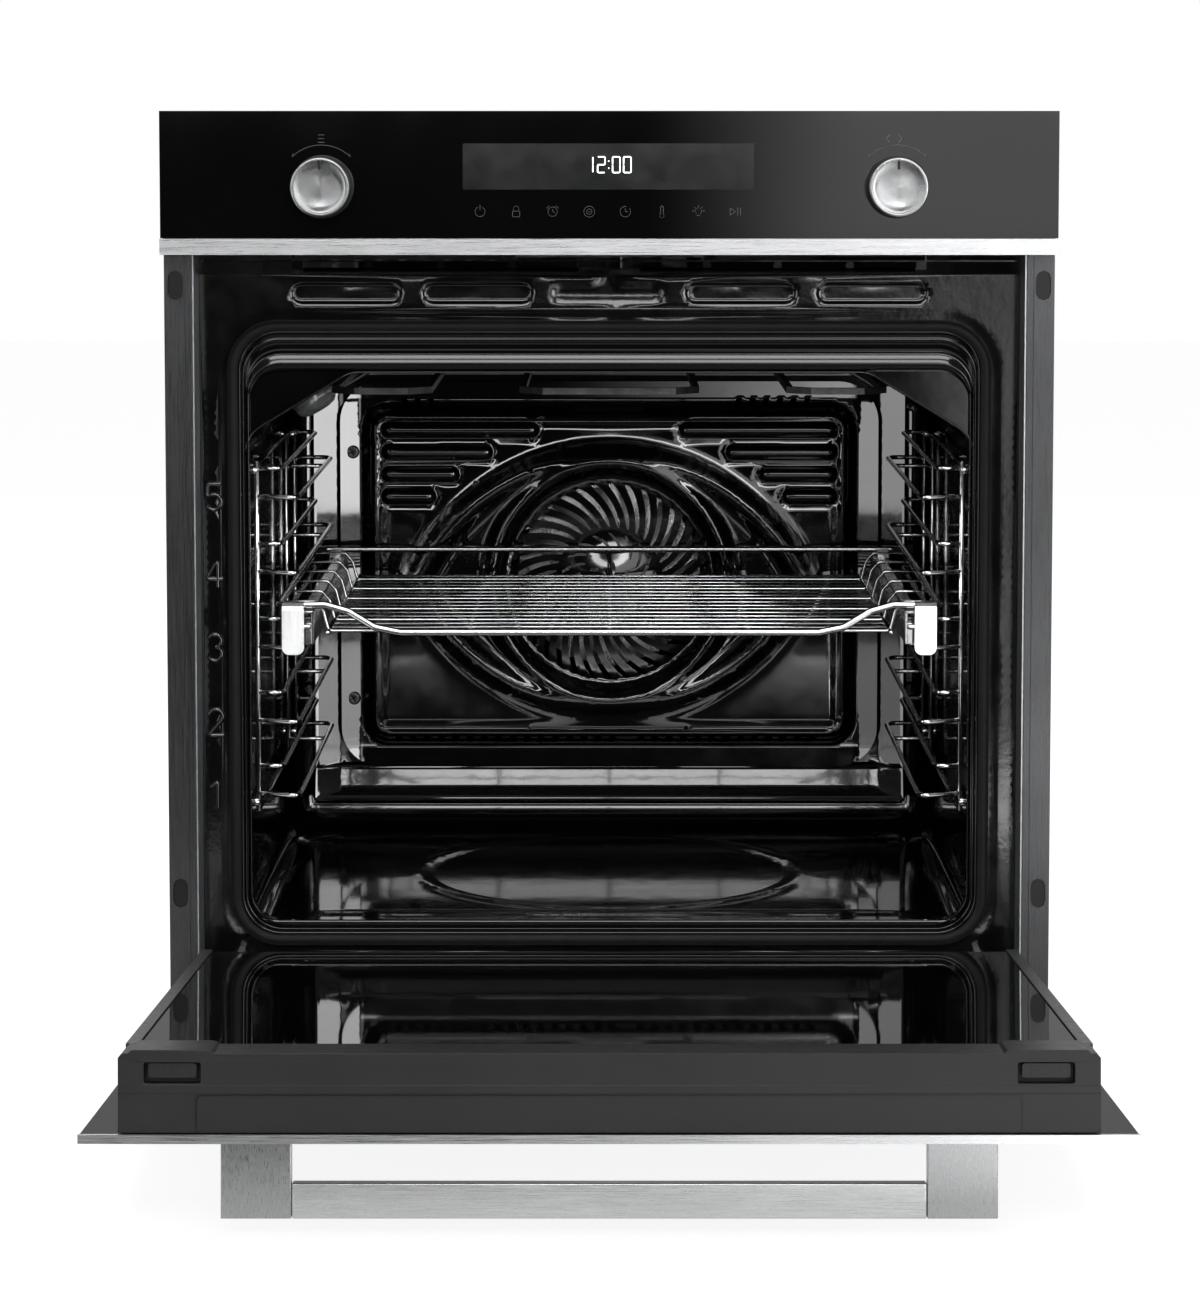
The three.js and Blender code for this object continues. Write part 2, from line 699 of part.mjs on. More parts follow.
// ---------------------------------------------------------------- top bay
{
  const duct = [];
  const shell = cut(box(-215, 215, 40, 300, 483, 500), [box(-214, 214, 39, 301, 484, 499)]);
  duct.push(shell);
  duct.push(box(-276, 276, 33.5, 41, 488.6, 489.6));
  for (const s of [-1, 1]) {
    duct.push(
      prism("x", [[41, 484.6], [41, 483], [38, 483], [31.6, 481.4], [31.2, 482.4], [38, 484.6]],
        Math.min(s * 21, s * 207), Math.max(s * 21, s * 207)),
    );
    duct.push(box(Math.min(s * 208, s * 215), Math.max(s * 208, s * 215), 38, 45, 484, 489.2));
    for (const x of [66, 114, 163]) duct.push(cyl("y", [s * x, 486], 3, 37, 41, 8));
    duct.push(
      prism("x", [[36.5, 483.4], [41, 484.2], [41, 489], [39.5, 489]],
        Math.min(s * 60, s * 170), Math.max(s * 60, s * 170)),
    );
  }
  put("air_duct", join(duct), "enamel");

  const scroll = cut(
    join([cyl("z", [0, 400], 82, 470, 506, 28), box(-70, 70, 300.6, 400, 483.4, 499.6)]),
    [
      cyl("z", [0, 400], 80.5, 471.5, 504.5, 28),
      box(-68.5, 68.5, 299, 400, 484.9, 498.1),
      cyl("z", [0, 400], 44, 500, 510, 20),
    ],
  );
  put("blower_housing", scroll, "zinc");
  const vanes = [];
  for (let i = 0; i < 12; i++) {
    const a = (2 * Math.PI * i) / 12, b = a + 0.14;
    const q = (r, t, w) => [r * Math.cos(t) - w * Math.sin(t), 400 + r * Math.sin(t) + w * Math.cos(t)];
    vanes.push(prism("z", [q(46, a, -0.7), q(64, b, -0.7), q(64, b, 0.7), q(46, a, 0.7)], 474.8, 498));
  }
  put(
    "blower_wheel",
    join([
      cyl("z", [0, 400], 65, 474, 475.2, 24),
      cyl("z", [0, 400], 9, 474.5, 484, 12),
      cyl("z", [0, 400], 3, 480, 524, 8),
      ...vanes,
    ]),
    "zinc",
  );
  put(
    "blower_motor",
    cut(
      join([
        cyl("z", [0, 400], 30, 512, 540, 20),
        cyl("z", [0, 400], 12, 539, 548, 12),
        box(-75, 75, 394, 406, 509, 513),
        box(-75, -68, 394, 406, 506.3, 513),
        box(68, 75, 394, 406, 506.3, 513),
      ]),
      [cyl("z", [0, 400], 3.6, 500, 528, 8)],
    ),
    "copper",
  );
  const board = [
    box(-240, -110, 150, 300, 515, 516.6),
    box(-235, -200, 160, 200, 516, 545),
    box(-190, -165, 165, 190, 516, 538),
    box(-150, -120, 160, 180, 516, 534),
    box(-230, -190, 240, 280, 516, 530),
    cyl("z", [-155, 225], 9, 516, 546, 12),
    cyl("z", [-130, 225], 7, 516, 540, 12),
    box(-175, -120, 260, 272, 516, 540),
  ];
  for (const [x, y] of [[-234, 156], [-116, 156], [-234, 294], [-116, 294]])
    board.push(cyl("z", [x, y], 2.5, 500.4, 515.4, 8));
  put("power_board", join(board), "board");
  const term = cut(
    join([
      box(170, 240, 488, 537.6, 480, 535),
      cyl("y", [205, 505], 11, 536, 545, 16),
    ]),
    [cyl("y", [205, 505], 6, 515, 546, 12), box(173, 237, 491, 512, 483, 536)],
  );
  put("terminal_box", term, "plastic");
}

// ---------------------------------------------------------------- hinges
{
  const bracket = join([
    prism("x", [[3.5, 0.4], [34, 0.4], [60, 8.4], [100, 8.4], [100, 19], [8, 19], [3.5, 10]], 249.5, 253.5),
    box(247.5, 263, 38, 102, 20, 33.6),
    box(249.5, 253.5, 38, 102, 15, 21),
    cyl("x", [PIVOT.y, PIVOT.z], 2.9, 252, 259.6, 12),
  ]);
  const arm = cut(
    join([
      cyl("x", [PIVOT.y, PIVOT.z], 6.6, 254.6, 258.9, 16),
      box(254.6, 258.9, 2, 14, 4, 96),
      box(254.6, 258.9, 2, 14, 96, 100),
    ]),
    [cyl("x", [PIVOT.y, PIVOT.z], 3.3, 250, 262, 12)],
  );
  put("right_hinge_bracket", bracket, "zinc");
  put("left_hinge_bracket", flip(bracket), "zinc");
  put("right_hinge_arm", arm, "zinc", door);
  put("left_hinge_arm", flip(arm), "zinc", door);
}

// ---------------------------------------------------------------- door
// closed pose, t = depth behind the outer face, Y = t - 22
const D = (x0, x1, t0, t1, z0, z1) => box(x0, x1, t0 - 22, t1 - 22, z0, z1);
{
  put("door_outer_glass", D(-297.5, 297.5, 0, 4, 10, 487.7), "glass", door);
  put("door_edge_strip", D(-297.5, 297.5, 0, 5, 488, 492), "steel", door);
  put("door_middle_glass", D(-262, 262, 16, 20, 30, 446), "clear", door);
  put("door_inner_glass", D(-268, 268, 45, 49, 24, 449.4), "glass", door);
  const col = join([
    D(268.3, 275.5, 4.3, 50, 20, 449.6),
    D(262.4, 268.6, 4.3, 44.7, 20, 449.6),
    D(259.5, 262.8, 20.3, 44.7, 20, 449.6),
  ]);
  put("door_right_column", col, "steel", door);
  put("door_left_column", flip(col), "steel", door);
  put(
    "door_bottom_rail",
    join([D(-252, 252, 4.3, 44.7, 20, 23.4), D(-252, 252, 20.3, 22, 23, 40), D(-252, 252, 8, 15.7, 23, 40)]),
    "zinc",
    door,
  );
  let cap = cut(
    join([D(-275.5, 275.5, 5.3, 50, 449.9, 487.7), D(222, 270, 49, 52, 458, 487.7), D(-270, -222, 49, 52, 458, 487.7)]),
    [
      D(-262, 262, 9, 46, 448, 484),
      // openings for the release tabs
      D(-261, -229, 33, 45, 480, 490),
      D(229, 261, 33, 45, 480, 490),
      // shallow pocket along the edge
      D(-232, 232, 6.8, 27, 486.7, 489),
    ],
  );
  put("door_top_cap", cap, "plastic", door);
  for (const [s, name] of [[-1, "left_release_tab"], [1, "right_release_tab"]]) {
    const a = Math.min(s * 230.5, s * 259.5), b = Math.max(s * 230.5, s * 259.5);
    put(
      name,
      join([D(a, b, 34.5, 43.5, 470, 486.6), D(a + 4, b - 4, 37, 41, 458, 471)]),
      "plastic",
      door,
    );
  }
  const handle = join([
    D(-220.5, 220.5, -48, -28, 450, 460),
    D(-220.5, -181, -29, -0.3, 450, 460),
    D(181, 220.5, -29, -0.3, 450, 460),
  ]);
  put("door_handle", handle, "steel", door);
}

export default root;
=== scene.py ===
import math
import random

import bmesh
import bpy
import numpy as np
from mathutils import Matrix, Vector, geometry, noise


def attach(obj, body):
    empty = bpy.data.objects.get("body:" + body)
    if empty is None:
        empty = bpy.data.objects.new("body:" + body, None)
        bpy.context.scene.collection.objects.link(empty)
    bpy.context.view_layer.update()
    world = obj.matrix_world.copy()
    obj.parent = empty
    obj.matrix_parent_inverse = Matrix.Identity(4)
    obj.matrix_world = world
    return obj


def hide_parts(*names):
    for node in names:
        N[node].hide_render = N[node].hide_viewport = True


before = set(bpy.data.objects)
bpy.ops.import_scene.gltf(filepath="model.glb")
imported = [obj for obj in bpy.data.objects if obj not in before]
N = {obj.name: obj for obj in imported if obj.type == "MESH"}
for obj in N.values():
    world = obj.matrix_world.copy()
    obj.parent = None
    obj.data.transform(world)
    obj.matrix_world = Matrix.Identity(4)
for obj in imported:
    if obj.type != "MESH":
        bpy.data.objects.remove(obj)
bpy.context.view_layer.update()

random.seed(7)
scene = bpy.context.scene

# ------------------------------------------------------------------ frames
# Shapes are written in millimetres in the cabinet frame: X right, Y into the wall from the
# rear face of the front frame, Z up. Door shapes are written closed and turned open here.
OFF_Y = -272.5
PIV_Y, PIV_Z, OPEN = 8.0, 4.0, math.radians(85.5)
CO, SO = math.cos(OPEN), math.sin(OPEN)


def P(x, y, z):
    return Vector((x, y + OFF_Y, z)) / 1000.0


def D(x, t, z):
    """Door point: t behind the outer face, z up the closed door."""
    y, h = t - 22.0 - PIV_Y, z - PIV_Z
    return P(x, PIV_Y + y * CO - h * SO, PIV_Z + y * SO + h * CO)


# ------------------------------------------------------------------ materials
MATS = {}


def material(name, base, metallic=0.0, rough=0.4, ior=1.5, spec=0.5, coat=0.0, coat_rough=0.03,
             bump=None, grain=None, mottle=None, aniso=0.0, radial=None, streak=None,
             transmission=0.0, emission=None, strength=0.0, rough_var=0.0, rough_scale=60.0,
             sheen=0.0, wear=None):
    """bump: list of (scale per metre, strength, distance mm). streak: (axis, scale, amount).
    mottle: (scale, amount). grain: (scale, amount) fine colour noise."""
    m = bpy.data.materials.new(name)
    m.use_nodes = True
    nt = m.node_tree
    b = nt.nodes["Principled BSDF"]
    L = nt.links.new
    b.inputs["Base Color"].default_value = (*base, 1)
    b.inputs["Metallic"].default_value = metallic
    b.inputs["Roughness"].default_value = rough
    b.inputs["IOR"].default_value = ior
    b.inputs["Specular IOR Level"].default_value = spec
    b.inputs["Coat Weight"].default_value = coat
    b.inputs["Coat Roughness"].default_value = coat_rough
    b.inputs["Anisotropic"].default_value = aniso
    b.inputs["Transmission Weight"].default_value = transmission
    b.inputs["Sheen Weight"].default_value = sheen
    if emission:
        b.inputs["Emission Color"].default_value = (*emission, 1)
        b.inputs["Emission Strength"].default_value = strength
    tc = nt.nodes.new("ShaderNodeTexCoord")
    src = tc.outputs["Object"]

    def noise_node(scale, detail=3.0, vec=None, rough=0.5):
        n = nt.nodes.new("ShaderNodeTexNoise")
        n.inputs["Scale"].default_value = scale
        n.inputs["Detail"].default_value = detail
        n.inputs["Roughness"].default_value = rough
        L(vec or src, n.inputs["Vector"])
        return n.outputs["Fac"]

    def mapped(scale_xyz):
        mp = nt.nodes.new("ShaderNodeMapping")
        mp.inputs["Scale"].default_value = scale_xyz
        L(src, mp.inputs["Vector"])
        return mp.outputs["Vector"]

    def remap(fac, lo, hi, f0=0.3, f1=0.7):
        r = nt.nodes.new("ShaderNodeMapRange")
        r.inputs["From Min"].default_value = f0
        r.inputs["From Max"].default_value = f1
        r.inputs["To Min"].default_value = lo
        r.inputs["To Max"].default_value = hi
        L(fac, r.inputs["Value"])
        return r.outputs["Result"]

    streak_fac = None
    if streak:
        axis, sc, amt = streak
        v = {"x": (sc * 0.012, sc, sc), "y": (sc, sc * 0.012, sc), "z": (sc, sc, sc * 0.012)}[axis]
        streak_fac = noise_node(1.0, 4.0, mapped(v), 0.6)
    # colour
    col = None
    for spec_ in (mottle, grain):
        if not spec_:
            continue
        sc, amt = spec_
        f = remap(noise_node(sc, 4.0), 1 - amt, 1 + amt)
        mx = nt.nodes.new("ShaderNodeVectorMath")
        mx.operation = "SCALE"
        if col is None:
            mx.inputs[0].default_value = base
        else:
            L(col, mx.inputs[0])
        L(f, mx.inputs["Scale"])
        col = mx.outputs["Vector"]
    if streak_fac is not None:
        f = remap(streak_fac, 1 - streak[2], 1 + streak[2])
        mx = nt.nodes.new("ShaderNodeVectorMath")
        mx.operation = "SCALE"
        if col is None:
            mx.inputs[0].default_value = base
        else:
            L(col, mx.inputs[0])
        L(f, mx.inputs["Scale"])
        col = mx.outputs["Vector"]
    if col is not None:
        L(col, b.inputs["Base Color"])
    # roughness
    if rough_var or streak_fac is not None:
        fac = streak_fac if streak_fac is not None else noise_node(rough_scale, 3.0)
        rv = rough_var or rough * 0.25
        L(remap(fac, max(0.01, rough - rv), rough + rv), b.inputs["Roughness"])
    # bump
    normal = None
    if streak_fac is not None:
        bm_ = nt.nodes.new("ShaderNodeBump")
        bm_.inputs["Strength"].default_value = 0.12
        bm_.inputs["Distance"].default_value = 0.00004
        L(streak_fac, bm_.inputs["Height"])
        normal = bm_.outputs["Normal"]
    for sc, st, dist in bump or []:
        bn = nt.nodes.new("ShaderNodeBump")
        bn.inputs["Strength"].default_value = st
        bn.inputs["Distance"].default_value = dist / 1000.0
        L(noise_node(sc, 2.0), bn.inputs["Height"])
        if normal is not None:
            L(normal, bn.inputs["Normal"])
        normal = bn.outputs["Normal"]
    if normal is not None:
        L(normal, b.inputs["Normal"])
        if coat:
            L(normal, b.inputs["Coat Normal"])
    if radial:
        tg = nt.nodes.new("ShaderNodeTangent")
        tg.direction_type = "RADIAL"
        tg.axis = radial
        L(tg.outputs["Tangent"], b.inputs["Tangent"])
    MATS[name] = m
    return m


ENAMEL = material("enamel_black", (0.0028, 0.0029, 0.0031), rough=0.075, ior=1.6, spec=0.6, coat=0.4, coat_rough=0.03,
                  bump=[(45, 0.22, 0.2), (240, 0.06, 0.04)], mottle=(30, 0.25), rough_var=0.02)
ENAMEL_COLLAR = material("enamel_collar", (0.0028, 0.0029, 0.0031), rough=0.1, ior=1.5, spec=0.5, coat=0.25, coat_rough=0.05,
                         bump=[(60, 0.08, 0.06)], mottle=(30, 0.2), rough_var=0.02)
ENAMEL_PLATE = material("enamel_front", (0.003, 0.0031, 0.0033), rough=0.14, ior=1.55, spec=0.5, coat=0.2, coat_rough=0.08,
                        bump=[(170, 0.35, 0.16), (420, 0.3, 0.05)], mottle=(35, 0.3), rough_var=0.03)
ENAMEL_SMOOTH = material("enamel_baffle", (0.0025, 0.0026, 0.0028), rough=0.07, ior=1.62, spec=0.6, coat=0.5, coat_rough=0.03,
                         bump=[(40, 0.14, 0.14), (240, 0.04, 0.03)], mottle=(30, 0.2), rough_var=0.02)
GLASS_BLACK = material("glass_black", (0.0022, 0.0023, 0.0026), rough=0.045, ior=1.52, spec=0.5, coat=0.2, coat_rough=0.02,
                       bump=[(14, 0.08, 0.12)], mottle=(12, 0.15), rough_var=0.01, rough_scale=20)
GLASS_DOOR = material("glass_door_inner", (0.002, 0.0021, 0.0023), rough=0.03, ior=1.55, spec=0.55, coat=0.4, coat_rough=0.02,
                      bump=[(10, 0.06, 0.1)], mottle=(12, 0.15), rough_var=0.008, rough_scale=20)
GLASS_CLEAR = material("glass_clear", (0.9, 0.95, 0.93), rough=0.03, ior=1.5, transmission=0.92, bump=[(90, 0.15, 0.1)])
LAMP_GLASS = material("glass_lamp", (0.85, 0.87, 0.86), rough=0.07, ior=1.48, transmission=0.85, bump=[(160, 0.3, 0.2)])
DISPLAY = material("display_window", (0.014, 0.0145, 0.0155), rough=0.14, ior=1.45, coat=0.05, coat_rough=0.04,
                   bump=[(400, 0.1, 0.02)], mottle=(9, 0.5), rough_var=0.03)
DIGIT = material("display_digit", (0.85, 0.9, 0.92), rough=0.5, emission=(0.93, 0.98, 1.0), strength=1.6, grain=(300, 0.05))
PRINT = material("print_grey", (0.12, 0.12, 0.12), rough=0.45, grain=(500, 0.15))
PRINT_DIM = material("print_dim", (0.075, 0.075, 0.078), rough=0.45, grain=(500, 0.15))
STEEL_H = material("steel_brushed_x", (0.47, 0.474, 0.478), metallic=1, rough=0.27, aniso=0.55, streak=("x", 2600, 0.07), mottle=(8, 0.04))
STEEL_TRIM = material("steel_trim", (0.46, 0.464, 0.47), metallic=1, rough=0.3, aniso=0.5, streak=("x", 2600, 0.04), mottle=(8, 0.03))
# darker copy of the brushed steel, used on the handle posts as painted shade
STEEL_Z_SHADED = material("steel_brushed_z_painted_shade", (0.34, 0.343, 0.347), metallic=1, rough=0.3, aniso=0.4, streak=("z", 2600, 0.06), mottle=(8, 0.05))
STEEL_Y = material("steel_brushed_y", (0.52, 0.525, 0.53), metallic=1, rough=0.28, aniso=0.4, streak=("y", 2400, 0.07), mottle=(10, 0.05))
STEEL_SPUN = material("steel_spun", (0.27, 0.272, 0.275), metallic=1, rough=0.22, aniso=0.85, radial="Y",
                      grain=(1500, 0.04), rough_var=0.03, rough_scale=900)
FRAME_STEEL = material("frame_steel", (0.075, 0.076, 0.078), metallic=0.85, rough=0.3, streak=("z", 1800, 0.08), mottle=(14, 0.08))
CHROME = material("chrome_wire", (0.56, 0.56, 0.57), metallic=1, rough=0.14, grain=(700, 0.06), rough_var=0.04,
                  rough_scale=260, bump=[(900, 0.08, 0.03)])
# much lighter copy of the runner steel, used on the carrier face plates as painted light
CHROME_PAINTED_LIGHT = material("chrome_runner_painted_highlight", (0.92, 0.92, 0.925), metallic=1, rough=0.42, streak=("z", 2200, 0.05), mottle=(60, 0.04))
RUNNER_RAIL = material("runner_steel", (0.55, 0.55, 0.56), metallic=1, rough=0.22, streak=("y", 1800, 0.06), mottle=(40, 0.06))
ZINC = material("zinc_sheet", (0.36, 0.37, 0.378), metallic=1, rough=0.4, mottle=(150, 0.1), grain=(420, 0.08),
                rough_var=0.07, rough_scale=180, bump=[(420, 0.12, 0.02)])
ZINC_DULL = material("zinc_bracket", (0.43, 0.44, 0.445), metallic=1, rough=0.38, mottle=(60, 0.12), grain=(300, 0.07),
                     rough_var=0.08, rough_scale=120, bump=[(300, 0.2, 0.04)])
PLASTIC = material("plastic_dark", (0.030, 0.0305, 0.032), rough=0.42, spec=0.45, mottle=(20, 0.12), grain=(900, 0.1),
                   rough_var=0.05, rough_scale=200, bump=[(1400, 0.25, 0.03)])
PLASTIC_CAP = material("plastic_cap", (0.021, 0.0213, 0.022), rough=0.4, spec=0.28, mottle=(9, 0.1), grain=(1200, 0.06),
                       rough_var=0.04, rough_scale=120, bump=[(1600, 0.2, 0.02)])
# near-black plastic for the knob lines and collars; also painted shade in the frame's fixing holes and as the dark rim
# line of the cap's lower field
BLACK_PLASTIC_AND_SHADE = material("black_plastic_and_painted_shade", (0.008, 0.008, 0.0085), rough=0.34, spec=0.35, grain=(900, 0.1), bump=[(1400, 0.2, 0.03)])
RUBBER = material("gasket_weave", (0.007, 0.007, 0.0075), rough=0.55, spec=0.2, mottle=(60, 0.2), grain=(900, 0.25),
                  bump=[(700, 0.5, 0.25), (2200, 0.35, 0.08)], sheen=0.05)
WOOL = material("mineral_wool", (0.62, 0.56, 0.36), rough=0.95, spec=0.1, mottle=(40, 0.18), grain=(500, 0.2),
                bump=[(350, 0.9, 1.2), (1200, 0.6, 0.4)])
PCB = material("circuit_board", (0.02, 0.16, 0.06), rough=0.4, mottle=(50, 0.15), grain=(800, 0.15), bump=[(900, 0.4, 0.1)])
CERAMIC = material("ceramic", (0.72, 0.69, 0.62), rough=0.35, mottle=(60, 0.08), bump=[(300, 0.3, 0.08)])
HEATER = material("heater_tube", (0.07, 0.068, 0.07), metallic=0.8, rough=0.42, mottle=(70, 0.35), grain=(600, 0.2),
                  rough_var=0.1, rough_scale=160, bump=[(900, 0.3, 0.05)])
MOTOR = material("motor_body", (0.20, 0.13, 0.08), metallic=0.6, rough=0.45, mottle=(60, 0.3), bump=[(500, 0.4, 0.2)])
FANSTEEL = material("fan_steel", (0.92, 0.91, 0.90), metallic=1, rough=0.28, mottle=(40, 0.15), grain=(400, 0.08),
                    rough_var=0.06, rough_scale=120, bump=[(300, 0.2, 0.04)])
SCREW = material("screw_dark", (0.10, 0.10, 0.105), metallic=1, rough=0.35, grain=(900, 0.2), bump=[(1200, 0.3, 0.03)])
# near-black painted shade: the dark crosses in the screw heads and the floors of the cap's tab pockets
PAINTED_SHADE = material("recess_painted_shade", (0.004, 0.004, 0.004), rough=0.6, grain=(300, 0.3), bump=[(300, 0.3, 0.1)])

# ------------------------------------------------------------------ mesh helpers
def make(name, verts, faces, mat, body, smooth=True, angle=38, nodes=(), slot=None):
    me = bpy.data.meshes.new(name)
    me.from_pydata([tuple(v) for v in verts], [], [tuple(f) for f in faces])
    me.validate()
    bm = bmesh.new()
    bm.from_mesh(me)
    bmesh.ops.remove_doubles(bm, verts=bm.verts, dist=1e-6)
    bmesh.ops.recalc_face_normals(bm, faces=bm.faces)
    bm.to_mesh(me)
    bm.free()
    o = bpy.data.objects.new(name, me)
    scene.collection.objects.link(o)
    me.materials.append(mat)
    if smooth:
        me.shade_smooth()
        me.set_sharp_from_angle(angle=math.radians(angle))
    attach(o, body)
    if nodes:
        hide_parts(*nodes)
    return o


class Build:
    """Collects closed shapes in one mesh."""

    def __init__(self, T=P):
        self.v, self.f, self.T = [], [], T

    def add(self, verts, faces, raw=False):
        k = len(self.v)
        self.v += [v if raw else self.T(*v) for v in verts]
        self.f += [tuple(i + k for i in f) for f in faces]
        return self

    def box(self, x0, x1, y0, y1, z0, z1):
        v = [(x, y, z) for x in (x0, x1) for y in (y0, y1) for z in (z0, z1)]
        f = [(0, 1, 3, 2), (4, 6, 7, 5), (0, 4, 5, 1), (2, 3, 7, 6), (0, 2, 6, 4), (1, 5, 7, 3)]
        return self.add(v, f)

    def rings(self, rings, closed=False, cap=True):
        n = len(rings[0])
        v = [p for r in rings for p in r]
        f = []
        m = len(rings)
        for i in range(m if closed else m - 1):
            a, b = i * n, ((i + 1) % m) * n
            for k in range(n):
                l = (k + 1) % n
                f.append((a + k, a + l, b + l, b + k))
        if cap and not closed:
            f.append(tuple(range(n - 1, -1, -1)))
            f.append(tuple((m - 1) * n + k for k in range(n)))
        return self.add(v, f)

    def wire(self, pts, r, seg=10, closed=False, bend=None):
        """Smooth round wire; bend rounds each corner with that radius."""
        if bend:
            pts = fillet(pts, bend, closed)
        Q = [Vector(p) for p in pts]
        n = len(Q)
        dirs = []
        for i in range(n if closed else n - 1):
            dirs.append((Q[(i + 1) % n] - Q[i]).normalized())
        u = dirs[0].orthogonal().normalized()
        rings = []
        for i in range(n):
            if closed:
                din, dout = dirs[i - 1], dirs[i]
                if i == 0:
                    u.rotate(dout.rotation_difference(din))
            else:
                din = dirs[max(0, i - 1)]
                dout = dirs[min(n - 2, i)]
            nrm = (din + dout).normalized()
            w = din.cross(u)
            ring = []
            for k in range(seg):
                a = 2 * math.pi * k / seg
                o = u * (r * math.cos(a)) + w * (r * math.sin(a))
                o = o - din * (o.dot(nrm) / din.dot(nrm))
                ring.append(tuple(Q[i] + o))
            rings.append(ring)
            u.rotate(din.rotation_difference(dout))
        if not closed:
            # small rounded ends
            for end, d in ((0, -dirs[0]), (-1, dirs[-1])):
                c = Q[end]
                small = [tuple(c + (Vector(p) - c) * 0.6 + d * r * 0.35) for p in rings[end]]
                if end == 0:
                    rings.insert(0, small)
                else:
                    rings.append(small)
        return self.rings(rings, closed=closed)

    def lathe_y(self, prof, cx, cz, n=48):
        """prof: (radius, y) from the front centre round to the rear centre."""
        rings = []
        for r, y in prof:
            rings.append([(cx + max(r, 0.01) * math.cos(2 * math.pi * k / n), y, cz + max(r, 0.01) * math.sin(2 * math.pi * k / n)) for k in range(n)])
        return self.rings(rings)

    def plate(self, outline, a, b, axis="y", holes=()):
        """Flat plate between a and b along axis, outline as 2D points, with holes."""
        polys = [list(outline)] + [list(h) for h in holes]
        flat = [Vector((p[0], p[1], 0)) for q in polys for p in q]
        tris = geometry.tessellate_polygon([[Vector((p[0], p[1], 0)) for p in q] for q in polys])
        put = {"y": lambda p, d: (p[0], d, p[1]), "x": lambda p, d: (d, p[0], p[1]), "z": lambda p, d: (p[0], p[1], d)}[axis]
        n = len(flat)
        v = [put(p, a) for p in flat] + [put(p, b) for p in flat]
        f = [tuple(t) for t in tris] + [tuple(i + n for i in reversed(t)) for t in tris]
        k = 0
        for q in polys:
            m = len(q)
            for i in range(m):
                j = (i + 1) % m
                f.append((k + i, k + j, k + j + n, k + i + n))
            k += m
        return self.add(v, f)

    def done(self, name, mat, body, **kw):
        return make(name, self.v, self.f, mat, body, **kw)


def fillet(pts, r, closed=False, n=5):
    Q = [Vector(p) for p in pts]
    out = []
    m = len(Q)
    for i in range(m):
        if not closed and i in (0, m - 1):
            out.append(tuple(Q[i]))
            continue
        a, b, c = Q[i - 1], Q[i], Q[(i + 1) % m]
        u, w = (a - b), (c - b)
        lu, lw = u.length, w.length
        if lu < 1e-6 or lw < 1e-6:
            continue
        u.normalize(), w.normalize()
        ang = u.angle(w)
        if ang > math.radians(176):
            out.append(tuple(b))
            continue
        d = min(r / math.tan(ang / 2), lu * 0.48, lw * 0.48)
        p0, p1 = b + u * d, b + w * d
        for k in range(n + 1):
            t = k / n
            out.append(tuple(p0 * (1 - t) ** 2 + b * 2 * t * (1 - t) + p1 * t * t))
    return out


def rrect(x0, x1, z0, z1, r, n=8):
    out = []
    for cx, cz, a in ((x1 - r, z1 - r, 0), (x0 + r, z1 - r, 90), (x0 + r, z0 + r, 180), (x1 - r, z0 + r, 270)):
        for i in range(n + 1):
            t = math.radians(a + 90 * i / n)
            out.append((cx + r * math.cos(t), cz + r * math.sin(t)))
    return out


def capsule(x0, z0, x1, z1, r, n=8):
    a = math.atan2(z1 - z0, x1 - x0)
    out = []
    for i in range(n + 1):
        t = a - math.pi / 2 + math.pi * i / n
        out.append((x1 + r * math.cos(t), z1 + r * math.sin(t)))
    for i in range(n + 1):
        t = a + math.pi / 2 + math.pi * i / n
        out.append((x0 + r * math.cos(t), z0 + r * math.sin(t)))
    return out


def circle(cx, cz, r, n=32):
    return [(cx + r * math.cos(2 * math.pi * i / n), cz + r * math.sin(2 * math.pi * i / n)) for i in range(n)]


def inside(poly, X, Z):
    """Which of the points X, Z lie in the polygon."""
    res = np.zeros(len(X), bool)
    n = len(poly)
    for i in range(n):
        x0, z0 = poly[i]
        x1, z1 = poly[(i + 1) % n]
        if z0 == z1:
            continue
        c = ((z0 > Z) != (z1 > Z)) & (X < (x1 - x0) * (Z - z0) / (z1 - z0) + x0)
        res ^= c
    return res


def sd_capsule(X, Z, x0, z0, x1, z1, r):
    dx, dz = x1 - x0, z1 - z0
    L2 = max(dx * dx + dz * dz, 1e-9)
    t = np.clip(((X - x0) * dx + (Z - z0) * dz) / L2, 0, 1)
    return np.hypot(X - x0 - t * dx, Z - z0 - t * dz) - r


def sd_rrect(X, Z, cx, cz, hx, hz, r):
    qx, qz = np.abs(X - cx) - hx + r, np.abs(Z - cz) - hz + r
    return np.minimum(np.maximum(qx, qz), 0) + np.hypot(np.maximum(qx, 0), np.maximum(qz, 0)) - r


def smooth(a, b, d):
    t = np.clip((d - a) / (b - a), 0, 1)
    return t * t * (3 - 2 * t)


